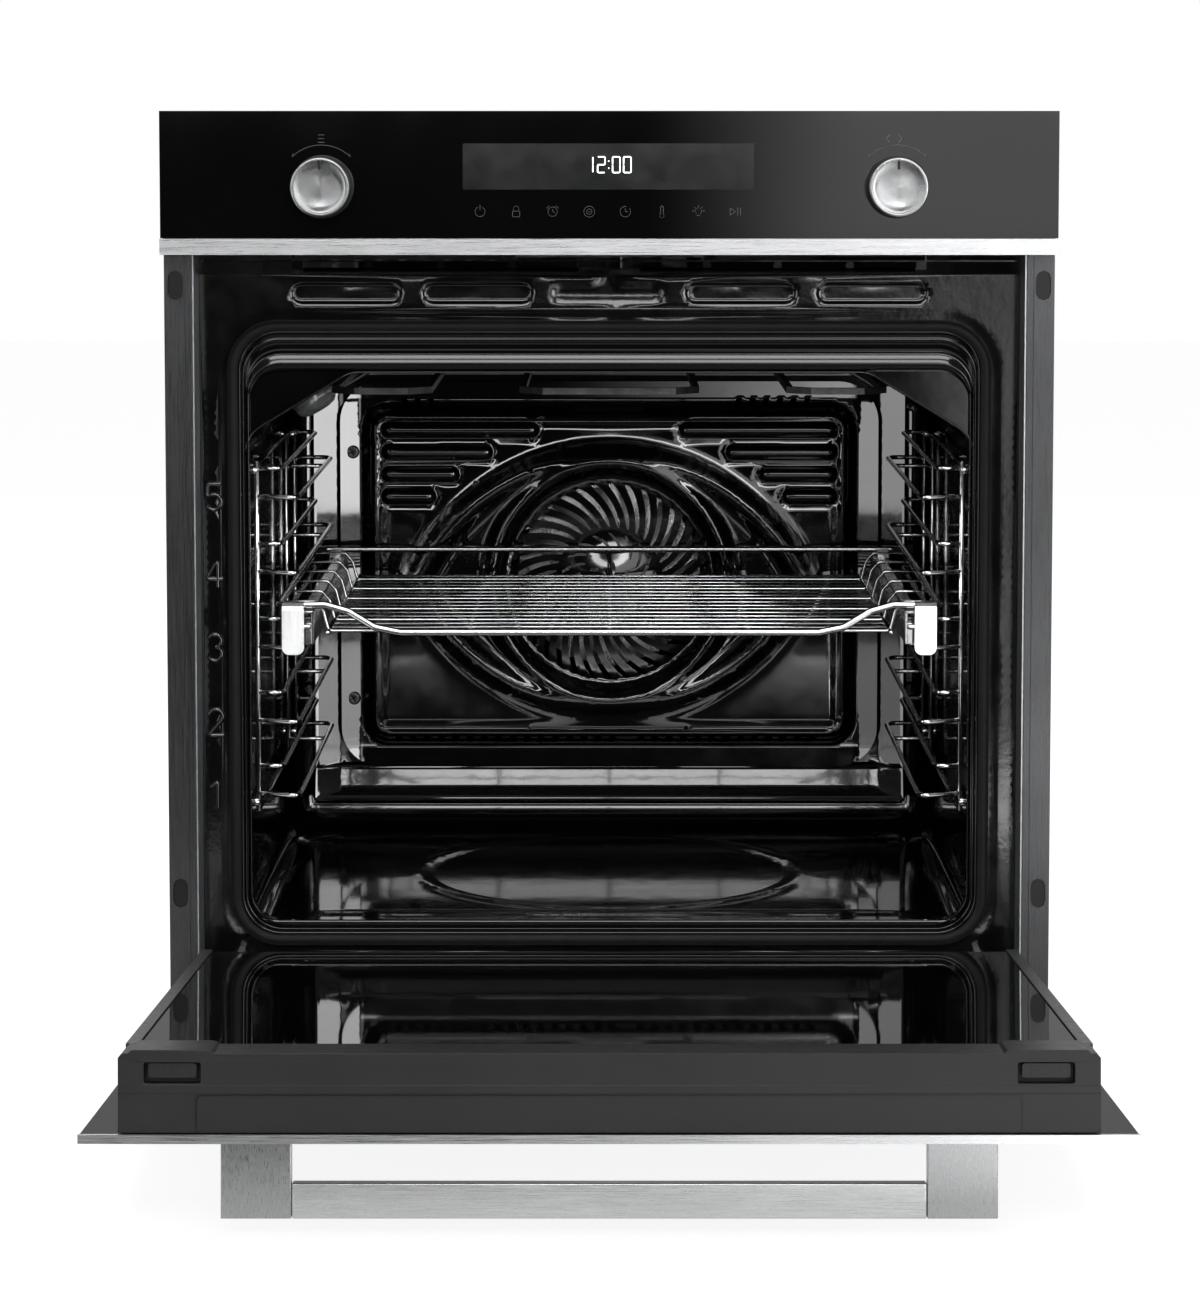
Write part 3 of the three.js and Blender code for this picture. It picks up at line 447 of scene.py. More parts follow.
def pressed(name, outline, holes, height, loops, step, thick, mat, body, put, nodes=(), angle=50, extra=None):
    """A pressed sheet: a fine triangulated face pushed by height(X, Z), with real holes and thickness.
    put(x, z, h) places a point h in front of or behind the sheet's plane."""
    polys = [outline] + list(holes) + list(loops)
    pts, edges = [], []
    for q in polys:
        k = len(pts)
        pts += [tuple(p) for p in q]
        edges += [(k + i, k + (i + 1) % len(q)) for i in range(len(q))]
    xs = [p[0] for p in outline]
    zs = [p[1] for p in outline]
    gx = np.arange(min(xs) + step / 2, max(xs), step)
    gz = np.arange(min(zs) + step / 2, max(zs), step)
    GX, GZ = [a.ravel() for a in np.meshgrid(gx, gz)]
    GX = GX + (np.round(GZ / step) % 2) * step * 0.5
    keep = inside(outline, GX, GZ)
    for h in holes:
        keep &= ~inside(h, GX, GZ)
    # keep the grid off the constraint lines
    allp = np.array(pts)
    GX, GZ = GX[keep], GZ[keep]
    if extra is not None:
        ex, ez = extra
        GX, GZ = np.concatenate([GX, ex]), np.concatenate([GZ, ez])
    ok = np.ones(len(GX), bool)
    for i in range(0, len(allp), 400):
        blk = allp[i:i + 400]
        d = (GX[:, None] - blk[None, :, 0]) ** 2 + (GZ[:, None] - blk[None, :, 1]) ** 2
        ok &= d.min(1) > (step * 0.3) ** 2
    vin = [Vector(p) for p in pts] + [Vector((float(a), float(b))) for a, b in zip(GX[ok], GZ[ok])]
    v2, _, tris, *_ = geometry.delaunay_2d_cdt(vin, edges, [], 0, 1e-5)
    V = np.array([(p[0], p[1]) for p in v2])
    T = np.array([t for t in tris if len(t) == 3])
    C = V[T].mean(1)
    keep = inside(outline, C[:, 0], C[:, 1])
    for h in holes:
        keep &= ~inside(h, C[:, 0], C[:, 1])
    T = T[keep]
    H = height(V[:, 0], V[:, 1])
    verts = [put(float(x), float(z), float(h)) for (x, z), h in zip(V, H)]
    me = bpy.data.meshes.new(name)
    me.from_pydata([tuple(v) for v in verts], [], [tuple(int(i) for i in t) for t in T])
    bm = bmesh.new()
    bm.from_mesh(me)
    loose = [v for v in bm.verts if not v.link_faces]
    bmesh.ops.delete(bm, geom=loose, context="VERTS")
    bmesh.ops.recalc_face_normals(bm, faces=bm.faces)
    # the face must look at the room; turn it if most of it looks away
    ny = sum(f.normal.y * f.calc_area() for f in bm.faces)
    if ny > 0:
        bmesh.ops.reverse_faces(bm, faces=bm.faces)
    bm.to_mesh(me)
    bm.free()
    o = bpy.data.objects.new(name, me)
    scene.collection.objects.link(o)
    me.materials.append(mat)
    me.shade_smooth()
    sol = o.modifiers.new("sheet", "SOLIDIFY")
    sol.thickness = thick / 1000.0
    sol.offset = -1
    dg = bpy.context.evaluated_depsgraph_get()
    new = bpy.data.meshes.new_from_object(o.evaluated_get(dg))
    o.modifiers.clear()
    o.data = new
    new.shade_smooth()
    new.set_sharp_from_angle(angle=math.radians(angle))
    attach(o, body)
    if nodes:
        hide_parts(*nodes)
    return o


def bevel(node, width, mat=None, seg=2, angle=35):
    o = N[node]
    if mat:
        o.data.materials.clear()
        o.data.materials.append(mat)
    if width:
        m = o.modifiers.new("bevel", "BEVEL")
        m.width = width / 1000.0
        m.segments = seg
        m.limit_method = "ANGLE"
        m.angle_limit = math.radians(angle)
        m.harden_normals = False
    o.data.shade_smooth()
    o.data.set_sharp_from_angle(angle=math.radians(40))
    return o


# ------------------------------------------------------------------ camera
F_PX, H_PX = 4029.1, 1312.0
SHIFT_Y = -0.14
cam_d = bpy.data.cameras.new("camera")
cam = bpy.data.objects.new("camera", cam_d)
scene.collection.objects.link(cam)
scene.camera = cam
cam_d.sensor_width = 36
cam_d.lens = F_PX * 36 / H_PX
cam_d.clip_start = 0.05
cam_d.clip_end = 60
PITCH = 0.08474
cam_d.shift_y = SHIFT_Y
cam_d.shift_x = -0.0071
cam.location = P(0, -2694.2, 577.4)
cam.rotation_euler = (math.pi / 2 - PITCH, 0, 0)
cam_d.dof.use_dof = False

# ------------------------------------------------------------------ carried-over CAD nodes
for n, w, m in (
    ("base_pan", 0.3, ZINC), ("top_cover", 0.4, ZINC), ("left_side_panel", 0.3, ZINC), ("right_side_panel", 0.3, ZINC),
    ("rear_cover", 0.4, ZINC), ("insulation_blanket", 0, WOOL), ("grill_element", 0, HEATER), ("bottom_element", 0, HEATER),
    ("ring_element", 0, HEATER), ("fan_motor", 0.6, MOTOR), ("lamp_socket", 0.5, CERAMIC), ("lamp_bulb", 0.5, GLASS_CLEAR),
    ("panel_carrier", 0.4, PLASTIC), ("display_module", 0.2, PCB), ("left_encoder", 0.4, ZINC_DULL), ("right_encoder", 0.4, ZINC_DULL),
    ("blower_housing", 0.5, ZINC), ("blower_wheel", 0.2, ZINC_DULL), ("blower_motor", 0.5, MOTOR), ("power_board", 0.2, PCB),
    ("terminal_box", 0.8, PLASTIC), ("left_hinge_bracket", 0.4, ZINC_DULL), ("right_hinge_bracket", 0.4, ZINC_DULL),
    ("left_hinge_arm", 0.4, ZINC_DULL), ("right_hinge_arm", 0.4, ZINC_DULL), ("door_middle_glass", 0.8, GLASS_CLEAR),
    ("door_bottom_rail", 0.4, ZINC_DULL), ("door_left_column", 0.5, PLASTIC), ("door_right_column", 0.5, PLASTIC),
    ("control_panel_glass", 0.7, GLASS_BLACK), ("door_outer_glass", 0.9, GLASS_BLACK), ("door_inner_glass", 0.9, GLASS_DOOR),
    ("front_frame", 0.25, FRAME_STEEL), ("air_duct", 0.2, ENAMEL), ("door_edge_strip", 0.35, STEEL_TRIM),
    ("left_runner_rail", 0.3, RUNNER_RAIL), ("right_runner_rail", 0.3, RUNNER_RAIL), ("left_runner_mid", 0.3, RUNNER_RAIL),
    ("right_runner_mid", 0.3, RUNNER_RAIL), ("control_panel_trim", 0.5, STEEL_TRIM),
):
    bevel(n, w, m)


# ------------------------------------------------------------------ knobs
def knob(cx, body, node):
    prof = [(0.01, -45.15), (6, -45.1), (12, -45.15), (16.6, -45.5), (18.2, -45.9), (19.0, -45.7), (19.55, -45.1), (19.8, -44.2),
            (19.85, -43), (19.6, -36), (19.45, -30), (19.3, -25), (18.9, -23.7), (17.2, -22.7), (9, -22.5), (3.1, -22.5), (3, -8.1), (0.01, -8.05)]
    b = Build()
    b.lathe_y(prof, cx, 540, 96)
    o = b.done(node + "_body", STEEL_SPUN, body, nodes=(node,), slot="brushed_steel", angle=30)
    # black line let into the top of the face
    c = Build()
    c.plate(capsule(cx, 552.2, cx, 557.0, 0.75, 6), -46.05, -45.0)
    c.done(node + "_line", BLACK_PLASTIC_AND_SHADE, body, smooth=False)
    # dark collar behind
    r = Build()
    r.lathe_y([(20.6, -22.45), (20.9, -22.2), (20.9, -22.02), (3.4, -22.02), (3.4, -22.45)], cx, 540, 64)
    k = r.done(node + "_collar", BLACK_PLASTIC_AND_SHADE, "cabinet")
    return o


knob(-190, "function_knob", "function_knob")
knob(190, "selector_knob", "selector_knob")

# ------------------------------------------------------------------ panel graphics
GY = -22.06  # just in front of the panel glass


def strokes(name, lines, w, mat, y0=GY, y1=-21.9, body="cabinet"):
    b = Build()
    for L_ in lines:
        for i in range(len(L_) - 1):
            b.plate(capsule(*L_[i], *L_[i + 1], w / 2, 4), y0, y1)
    return b.done(name, mat, body, smooth=False)


def arc(cx, cz, r, a0, a1, n=14):
    return [(cx + r * math.cos(math.radians(a0 + (a1 - a0) * i / n)), cz + r * math.sin(math.radians(a0 + (a1 - a0) * i / n))) for i in range(n + 1)]


# display window and clock
b = Build()
b.plate(rrect(-97, 95.6, 538.2, 568.6, 0.6, 3), GY, -21.95)
b.done("display_window", DISPLAY, "cabinet", smooth=False)


def seven(cx, cz, segs, w=4.9, h=10.4):
    g, s = 0.55, w / 2
    pts = {"a": [(-s + g, h / 2), (s - g, h / 2)], "d": [(-s + g, -h / 2), (s - g, -h / 2)], "g": [(-s + g, 0), (s - g, 0)],
           "f": [(-s, h / 2 - g), (-s, g)], "e": [(-s, -g), (-s, -h / 2 + g)], "b": [(s, h / 2 - g), (s, g)], "c": [(s, -g), (s, -h / 2 + g)]}
    return [[(cx + x, cz + z) for x, z in pts[k]] for k in segs]


clock = []
clock += seven(-13.2, 554.6, "bc", 4.6)
clock += seven(-5.3, 554.6, "abged")
clock += seven(4.6, 554.6, "abcdef")
clock += seven(11.9, 554.6, "abcdef")
clock += [[(-0.4, 556.8), (-0.4, 557.0)], [(-0.4, 552.2), (-0.4, 552.4)]]
strokes("display_clock", clock, 0.8, DIGIT, y0=GY - 0.05, y1=GY + 0.02)

icons, ic, dim = [], [], []
IX = [-85.6, -61.7, -37.5, -13.3, 10.6, 34.8, 59.0, 83.6]
zi = 523.6
x = IX[0]
icons += [arc(x, zi, 3.3, 120, 420), [(x, zi + 1.2), (x, zi + 4.3)]]
x = IX[1]
icons += [[(x - 2.4, zi - 3.4), (x + 2.4, zi - 3.4), (x + 2.4, zi + 0.3), (x - 2.4, zi + 0.3), (x - 2.4, zi - 3.4)], arc(x, zi + 1.8, 1.9, -50, 230)]
x = IX[2]
icons += [arc(x, zi, 3.1, 0, 360, 20), [(x, zi + 1.6), (x, zi), (x + 1.4, zi - 0.6)], [(x - 3.8, zi + 2.4), (x - 2.3, zi + 3.8)], [(x + 3.8, zi + 2.4), (x + 2.3, zi + 3.8)]]
x = IX[3]
icons += [arc(x, zi, 3.6, 0, 360, 20), arc(x, zi, 1.8, 0, 360, 12), [(x - 0.6, zi), (x + 0.6, zi)]]
x = IX[4]
icons += [arc(x, zi, 3.5, 80, 400, 20), [(x, zi + 2), (x, zi), (x + 1.7, zi)]]
x = IX[5]
icons += [[(x - 0.9, zi - 1.6), (x - 0.9, zi + 3.6), (x + 0.9, zi + 3.6), (x + 0.9, zi - 1.6)], arc(x, zi - 2.6, 1.5, -220, 40)]
x = IX[6]
icons += [arc(x, zi + 0.4, 2.2, -55, 235, 16), [(x - 1, zi - 2.6), (x + 1, zi - 2.6)], [(x - 4, zi + 0.5), (x - 3.1, zi + 0.5)], [(x + 3.1, zi + 0.5), (x + 4, zi + 0.5)], [(x, zi + 3.5), (x, zi + 4.2)],
          [(x - 2.7, zi + 3.1), (x - 2.2, zi + 2.6)], [(x + 2.7, zi + 3.1), (x + 2.2, zi + 2.6)]]
x = IX[7]
icons += [[(x - 3.6, zi - 2.4), (x - 3.6, zi + 2.4), (x, zi), (x - 3.6, zi - 2.4)], [(x + 1.4, zi - 2.4), (x + 1.4, zi + 2.4)], [(x + 3.3, zi - 2.4), (x + 3.3, zi + 2.4)]]
strokes("panel_icons", icons, 0.34, PRINT_DIM)
marks = []
for cx in (-190.5, 190.5):
    a = arc(cx, 540, 27.6, 46, 134, 24)
    marks.append(a)
    marks.append([a[0], (a[0][0] - 0.6, a[0][1] + 1.9)])
    marks.append([a[-1], (a[-1][0] + 0.6, a[-1][1] + 1.9)])
marks += [[(185.3, 569.2), (183.0, 571.8), (185.3, 574.4)], [(191.2, 569.2), (193.5, 571.8), (191.2, 574.4)]]
# neutral programme sign over the left knob
marks += [[(-190.5 - 2, 574.2), (-190.5 + 2, 574.2)], [(-190.5 - 2, 571.8), (-190.5 + 2, 571.8)], [(-190.5 - 2, 569.4), (-190.5 + 2, 569.4)]]
strokes("panel_marks", marks, 0.42, PRINT_DIM)

# ------------------------------------------------------------------ front plate
CAPS = [-178, -89, -1, 89, 178]


def plate_h(X, Z):
    h = np.zeros(len(X))
    for cx in CAPS:
        d = sd_capsule(X, Z, cx - 30.8, 467.2, cx + 30.8, 467.2, 7.0)
        if cx == -1:
            d = np.minimum(d, np.hypot(X + 1, Z - 472.5) - 7.5)
        h += 1.5 * (1 - smooth(-2.0, 0.6, d))
    # soft raised field edge round the mouth
    d = sd_rrect(X, Z, 0, 234.5, 263.5, 218.5, 38)
    h += 0.5 * (1 - smooth(-3.0, 3.0, d))
    # waviness of the pressing
    h += 0.1 * np.sin(X * 0.055 + 1.1) * np.sin(Z * 0.043 + 0.4)
    return h


hole = rrect(-247.2, 247.2, 32.5, 437, 22, 10)
loops = []
for cx in CAPS:
    for o_ in (-2.4, -1.0, 0.6):
        if cx != -1:
            loops.append(capsule(cx - 30.8, 467.2, cx + 30.8, 467.2, 7.0 + o_, 8))
for o_ in (0, 2.2):
    loops.append(rrect(-263.5 - o_, 263.5 + o_, 16 - o_, 453 + o_, 38 + o_, 10))
pressed("front_plate_sheet", [(-277.7, 7), (277.7, 7), (277.7, 480), (-277.7, 480)], [hole], plate_h, loops, 3.4, 1.1,
        ENAMEL_PLATE, "cabinet", lambda x, z, h: P(x, 35.0 + h, z), nodes=("front_plate",))

# dark plugs in the fixing holes of the frame: painted shade where the holes look dark
for sx in (-1, 1):
    for z0, z1 in ((469, 479), (58, 68)):
        b = Build()
        b.plate(capsule(sx * 290, z0, sx * 290, z1, 6.2, 10), 0.1, 1.1)
        b.plate(capsule(sx * 290, z0, sx * 290, z1, 4.7, 10), -1.0, 0.3)
        b.done("frame_hole_shade_%s_%d" % ("left" if sx < 0 else "right", z0), BLACK_PLASTIC_AND_SHADE, "cabinet")

# level numbers, raised in the plate


def digit_strokes(d):
    if d == "1":
        return [[(-3.5, 5.5), (1, 9), (1, -9)]]
    if d == "2":
        return [arc(0, 4.2, 4.8, 165, -35, 10) + [(-5, -8.8), (5.4, -8.8)]]
    if d == "3":
        return [arc(-0.3, 4.5, 4.5, 150, -80, 9), arc(-0.3, -4.2, 4.8, 85, -150, 9)]
    if d == "4":
        return [[(2.2, -9), (2.2, 9), (-5.4, -3.6), (5.6, -3.6)]]
    return [[(4.6, 9), (-4.2, 9), (-4.6, 1.0)], arc(-0.2, -3.4, 5.3, 128, -150, 12)]


for d, zc in (("5", 328.6), ("4", 276.2), ("3", 225.5), ("2", 174.0), ("1", 124.0)):
    b = Build()
    for ln in digit_strokes(d):
        pts = [(-268.8 + x_, 34.4, zc + z_) for x_, z_ in ln]
        b.wire(pts, 1.55, seg=10, bend=1.0)
    b.done("level_mark_" + d, ENAMEL_SMOOTH, "cabinet", slot="black_enamel")

# ------------------------------------------------------------------ gasket
b = Build()
path = rrect(-255.3, 255.3, 24.3, 445.0, 30, 12)
prof = [(-3.8, 34.7), (-3.9, 32.4), (-3.6, 30.4), (-2.6, 28.8), (-0.9, 28.0), (0.9, 28.0), (2.6, 28.8), (3.6, 30.4), (3.9, 32.6), (3.8, 34.7)]
rings = []
m = len(path)
for i in range(m):
    p0, p1, p2 = [Vector(path[(i + k) % m]) for k in (-1, 0, 1)]
    t = ((p1 - p0).normalized() + (p2 - p1).normalized()).normalized()
    nx = Vector((t.y, -t.x))
    rings.append([(p1.x + nx.x * a, y, p1.y + nx.y * a) for a, y in prof])
b.rings(rings, closed=True)
b.done("door_gasket_seal", RUBBER, "cabinet", nodes=("door_gasket",), slot="gasket_rubber", angle=60)

# ------------------------------------------------------------------ cavity
def section(hx, zb, zt, zs, dx, rb, rt, n=7):
    """Cavity outline with rounded corners, counter-clockwise from the floor's left end."""
    raw = [((-hx, zb), rb), ((hx, zb), rb), ((hx, zs), rt), ((hx - dx, zt), rt), ((-hx + dx, zt), rt), ((-hx, zs), rt)]
    pts = []
    k = len(raw)
    for i in range(k):
        (b_, r) = raw[i]
        a_, c_ = Vector(raw[i - 1][0]), Vector(raw[(i + 1) % k][0])
        b_ = Vector(b_)
        u, w = (a_ - b_).normalized(), (c_ - b_).normalized()
        ang = u.angle(w)
        d = r / math.tan(ang / 2)
        p0, p1 = b_ + u * d, b_ + w * d
        for j in range(n + 1):
            t = j / n
            q = p0 * (1 - t) ** 2 + b_ * 2 * t * (1 - t) + p1 * t * t
            pts.append((q.x, q.y))
    return pts


def resample(sec, per):
    out = []
    k = len(sec)
    for i in range(k):
        a, b_ = np.array(sec[i]), np.array(sec[(i + 1) % k])
        d = np.hypot(*(b_ - a))
        m_ = max(1, int(math.ceil(d / per)))
        for j in range(m_):
            out.append(tuple(a + (b_ - a) * j / m_))
    return out


def liner():
    base = section(247, 36, 413, 370, 71, 20, 22)
    base = resample(base, 14)
    B = np.array(base)
    cx, cz = 0.0, 224.0

    def shrink(d):
        """Offset the section inwards by d."""
        m_ = len(B)
        out = np.zeros_like(B)
        for i in range(m_):
            t = B[(i + 1) % m_] - B[i - 1]
            t /= max(np.hypot(*t), 1e-9)
            out[i] = B[i] + np.array([-t[1], t[0]]) * d
        return out

    rings = []
    ys = [37.5] + list(np.arange(52, 413, 12.0))
    for y in ys:
        rings.append((shrink(0.0), y))
    for k in range(1, 9):
        a = math.pi / 2 * k / 8
        rings.append((shrink(17.6 * (1 - math.cos(a))), 417 + 17.6 * math.sin(a)))
    v, f = [], []
    n = len(B)
    for pts, y in rings:
        for p in pts:
            v.append([p[0], y, p[1]])
    V = np.array(v)
    return V, rings, n


V, rings, n = liner()
faces = []
for i in range(len(rings) - 1):
    for k in range(n):
        l = (k + 1) % n
        faces.append((i * n + k, i * n + l, (i + 1) * n + l, (i + 1) * n + k))
bmv = [P(*p) for p in V]
me = bpy.data.meshes.new("cavity_shell")
me.from_pydata([tuple(p) for p in bmv], [], faces)
o = bpy.data.objects.new("cavity_shell", me)
scene.collection.objects.link(o)
me.materials.append(ENAMEL)
me.shade_smooth()
sol = o.modifiers.new("sheet", "SOLIDIFY")
sol.thickness = 0.0011
sol.offset = -1
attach(o, "cabinet")
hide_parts("cavity_liner")
bm = bmesh.new()
bm.from_mesh(me)
bmesh.ops.recalc_face_normals(bm, faces=bm.faces)
# inward facing
c = Vector(P(0, 240, 224))
s_ = sum((c - f.calc_center_median()).dot(f.normal) * f.calc_area() for f in bm.faces)
if s_ < 0:
    bmesh.ops.reverse_faces(bm, faces=bm.faces)
bm.to_mesh(me)
bm.free()
me.shade_smooth()

# floor pan with its round pressing, as its own skin just over the shell's floor
def floor_h(X, Y):
    r = np.hypot(X, Y - 222)
    h = 0.8 * np.exp(-((r - 139) / 6.0) ** 2) - 0.7 * (1 - smooth(126, 140, r))
    for sx in (-1, 1):
        h += 2.0 * np.exp(-(np.hypot(X - sx * 222, Y - 330) / 7.0) ** 2)
        h += 1.2 * np.exp(-((np.abs(X - sx * 231) / 3.5) ** 2)) * smooth(60, 90, Y) * (1 - smooth(380, 405, Y))
    h += 1.2 * np.exp(-((Y - 62) / 5.0) ** 2) * (np.abs(X) < 215) * (1 - smooth(195, 215, np.abs(X)))
    return h


pressed("cavity_floor", rrect(-229, 229, 40, 424, 14, 6), [], floor_h, [circle(0, 222, r_, 72) for r_ in (128, 133.5, 139, 144)], 6.0, 0.8,
        ENAMEL, "cabinet", lambda x, y, h: P(x, y, 36.6 + h), angle=60)


# rear wall with its well for the fan, and the ledge under the baffle
def rear_h(X, Z):
    d = sd_rrect(X, Z, 0, 232.5, 190, 137.5, 30)
    h = 44.0 * (1 - smooth(-8, 0, d))
    h -= 7.0 * np.clip((80.5 - Z) / 23.0, 0, 1) * smooth(54.0, 57.0, Z)
    h -= 0.3 * np.clip(np.abs(X) - 208, 0, 30)
    return h


shaft = circle(0, 228, 7, 20)
pressed("cavity_rear", rrect(-229.6, 229.6, 53.6, 395.5, 4, 3), [shaft], rear_h,
        [rrect(-190, 190, 95, 370, 30, 8), rrect(-184, 184, 101, 364, 24, 8), rrect(-229.5, 229.5, 57.2, 80.5, 0.4, 1)], 5.5, 1.0,
        ENAMEL, "cabinet", lambda x, z, h: P(x, 434.4 + h, z), angle=60)

# rolled collar between the plate and the cavity: wide at the top, narrow at the sides and floor
STEPS = [(251.2, 28.4, 442.0, 27, 34.4), (251.2, 28.4, 442.0, 27, 31.2), (250.9, 28.7, 441.6, 26.7, 30.4), (250.4, 29.2, 441.0, 26.3, 30.2), (249.9, 29.8, 440.4, 25.8, 30.8),
         (249.5, 30.2, 439.8, 25.5, 32.4), (249.3, 30.5, 437.4, 25.2, 34.6), (249.0, 30.8, 436.7, 25, 34.2), (248.6, 31.2, 436.0, 24.9, 33.9), (248.2, 31.6, 435.3, 24.7, 34.1),
         (247.8, 32.0, 434.6, 24.4, 35.2), (247.3, 32.4, 432.0, 24.2, 36.6), (246.9, 32.9, 428.4, 23.8, 37.9), (246.6, 33.2, 426.2, 23.5, 38.2), (246.4, 33.5, 424.4, 23.2, 37.8),
         (246.1, 33.9, 422.4, 23, 37.2), (245.9, 34.2, 420.6, 22.7, 36.6), (245.7, 34.5, 419.2, 22.4, 36.3), (245.5, 34.8, 418.4, 22, 36.6), (245.3, 35.0, 417.4, 22, 38.6),
         (245.2, 35.2, 416.7, 21.7, 38.5), (245.1, 35.4, 416.0, 21.4, 38.9), (245.0, 35.7, 415.2, 21, 40.2), (245.0, 36.2, 413.6, 21, 45)]
b = Build()
b.rings([[(p[0], st[4], p[1]) for p in rrect(-st[0], st[0], st[1], st[2], st[3], 14)] for st in STEPS], cap=False)
co_ = b.done("cavity_collar", ENAMEL_COLLAR, "cabinet", slot="black_enamel", angle=75)
sm = co_.modifiers.new("sheet", "SOLIDIFY")
sm.thickness = 0.0008

# web that joins the collar to the cavity, which narrows towards its top corners
b = Build()
b.plate(rrect(-248.6, 248.6, 34.6, 415.2, 21, 8), 45.2, 46.0, holes=[section(246.6, 36.4, 412.6, 369.6, 71, 20, 22)])
b.done("cavity_web", ENAMEL, "cabinet", smooth=False, slot="black_enamel")

# ------------------------------------------------------------------ fan baffle
CZ = 228.0
holes, loops = [], []
LOUVRE = [(346.0, 171, 60), (328.6, 171, 96), (311.4, 171, 122), (294.2, 171, 140)]


def slanted(x_, z0, z1, w, lean):
    return [(x_, z0), (x_ + w, z0), (x_ + w + lean, z1), (x_ + lean, z1)]


for x_ in (-157.5, -147.3, -137):
    holes.append([(x_, 371.4), (x_ - 4.4, 371.4), (x_ - 2.0, 362.6), (x_ + 2.0, 362.6)][::-1])
for i in range(6):
    x_ = 99.5 + 10.6 * i
    holes.append([(x_, 372.2), (x_ + 4.6, 372.2), (x_ + 1.6, 363.4), (x_ - 2.8, 363.4)][::-1])
for i in range(38):
    x_ = -162 + i * 11.1
    if x_ > 160:
        break
    if 15 < x_ < 22:
        continue
    holes.append([(x_ - 2.4 + 3.4 * math.cos(a) + 0.6 * math.sin(a), 103.4 + 2.9 * math.sin(a)) for a in np.linspace(0, 2 * math.pi, 9)[:-1]])


def pol(r, a):
    return (r * math.cos(a), CZ + r * math.sin(a))


def swirl(r0, r1, a0, lean, w0, w1, n_=5):
    """A long slot that leans as it runs outwards, with round ends."""
    L_, R_ = [], []
    for i in range(n_ + 1):
        t = i / n_
        r = r0 + (r1 - r0) * t
        a = a0 + lean * t ** 1.1
        w = (w0 + (w1 - w0) * t) / r / 2
        if i in (0, n_):
            w *= 0.55
        L_.append(pol(r, a - w))
        R_.append(pol(r, a + w))
    return L_ + R_[::-1]


for i in range(36):
    holes.append(swirl(42, 77.5, 2 * math.pi * i / 36, 0.36, 2.8, 5.6, 6))
for i in range(18):
    holes.append(swirl(23, 37, 2 * math.pi * i / 18 + 0.1, 0.42, 2.4, 3.6, 4))
for i in range(6):
    holes.append(swirl(6, 17, 2 * math.pi * i / 6, 0.5, 2.2, 4.4, 4))


def eye(X, Z):
    """Signed distance to the lens shape round the fan; negative inside."""
    R, h = 171.0, 104.0
    d1 = np.hypot(X, Z - CZ + (R - h)) - R
    d2 = np.hypot(X, Z - CZ - (R - h)) - R
    return np.maximum(d1, d2)


def baffle_h(X, Z):
    """Depth behind the frontmost plane of the baffle."""
    d = sd_rrect(X, Z, 0, 232, 193.5, 135.5, 22)
    h = 10.6 * smooth(-13, 0, d)          # sloped side of the raised middle
    h = np.where(d > 0, 10.6 - 0.28 * np.clip(np.abs(X) - 193.5, 0, 20) - 0.1 * np.clip(np.abs(Z - 232) - 135.5, 0, 20), h)
    h += 0.9 * np.exp(-((d + 16) / 3.0) ** 2)   # small valley before the field
    r = np.hypot(X, Z - CZ)
    e = eye(X, Z)
    h += -4.6 * np.exp(-((e + 7) / 9.5) ** 2)     # round rib along the lens edge
    h += 2.6 * (1 - smooth(-22, -6, e)) * smooth(92, 104, r)    # sunk field between rib and fan ring
    h += -3.4 * np.exp(-((r - 91) / 7.0) ** 2)     # ring round the fan opening
    h += 5.0 * (1 - smooth(80, 90, r))             # sunk grille
    h += -4.0 * (1 - smooth(0, 40, r))             # domed centre
    for z_, xo, xi in LOUVRE:
        for s in (-1, 1):
            dd = sd_capsule(X, Z, s * xo, z_, s * xi, z_, 5.2)
            h += -3.4 * (1 - smooth(-3.2, 1.0, dd)) + 0.8 * np.exp(-((dd - 1.8) / 1.2) ** 2)
    # pressed strip over the row of outlets
    dd = sd_rrect(X, Z, 0, 112.5, 60, 1.2, 1)
    h += 0.9 * (1 - smooth(-1, 1, dd))
    return np.minimum(h, 12.0)


ring = lambda r_, n_=120: circle(0, CZ, r_, n_)
for r_ in (79, 82.5, 86, 89, 92, 95, 98.5, 102):
    loops.append(ring(r_))
for o_ in (0.6, -2.5, 3.6):
    for z_, xo, xi in LOUVRE:
        for s in (-1, 1):
            a_, c_ = sorted((s * xo, s * xi))
            loops.append(capsule(a_, z_, c_, z_, 5.2 + o_ * 0.4 - (0 if o_ > 0 else 0.6), 6))
for o_ in (0, -6, -13):
    loops.append(rrect(-193.5 - o_, 193.5 + o_, 96.5 - o_, 367.5 + o_, 22 + o_ * 0.6, 8))


def lens(off):
    R, h = 171.0 + off, 104.0
    k = 171.0 - 104.0
    hw = math.sqrt(max(R * R - k * k, 1))
    a = math.atan2(k, hw)
    out = []
    nn = 70
    for i in range(nn + 1):
        t = a + (math.pi - 2 * a) * i / nn
        out.append((R * math.cos(t), CZ - k + R * math.sin(t)))
    for i in range(1, nn):
        t = math.pi + a + (math.pi - 2 * a) * i / nn
        out.append((R * math.cos(t), CZ + k + R * math.sin(t)))
    return out


for o_ in (5, 1.5, -1.5, -4.5, -7.5, -10.5, -14, -18):
    loops.append(lens(o_))
for x_, z_ in ((-200, 328), (-200, 135), (201, 233)):
    holes.append(circle(x_, z_, 2.3, 16))
pressed("fan_baffle_sheet", rrect(-209, 209, 81, 383, 31, 10), holes, baffle_h, loops, 3.2, 0.9,
        ENAMEL_SMOOTH, "cabinet", lambda x, z, h: P(x, 420.0 + h, z), nodes=("fan_baffle",), angle=65)
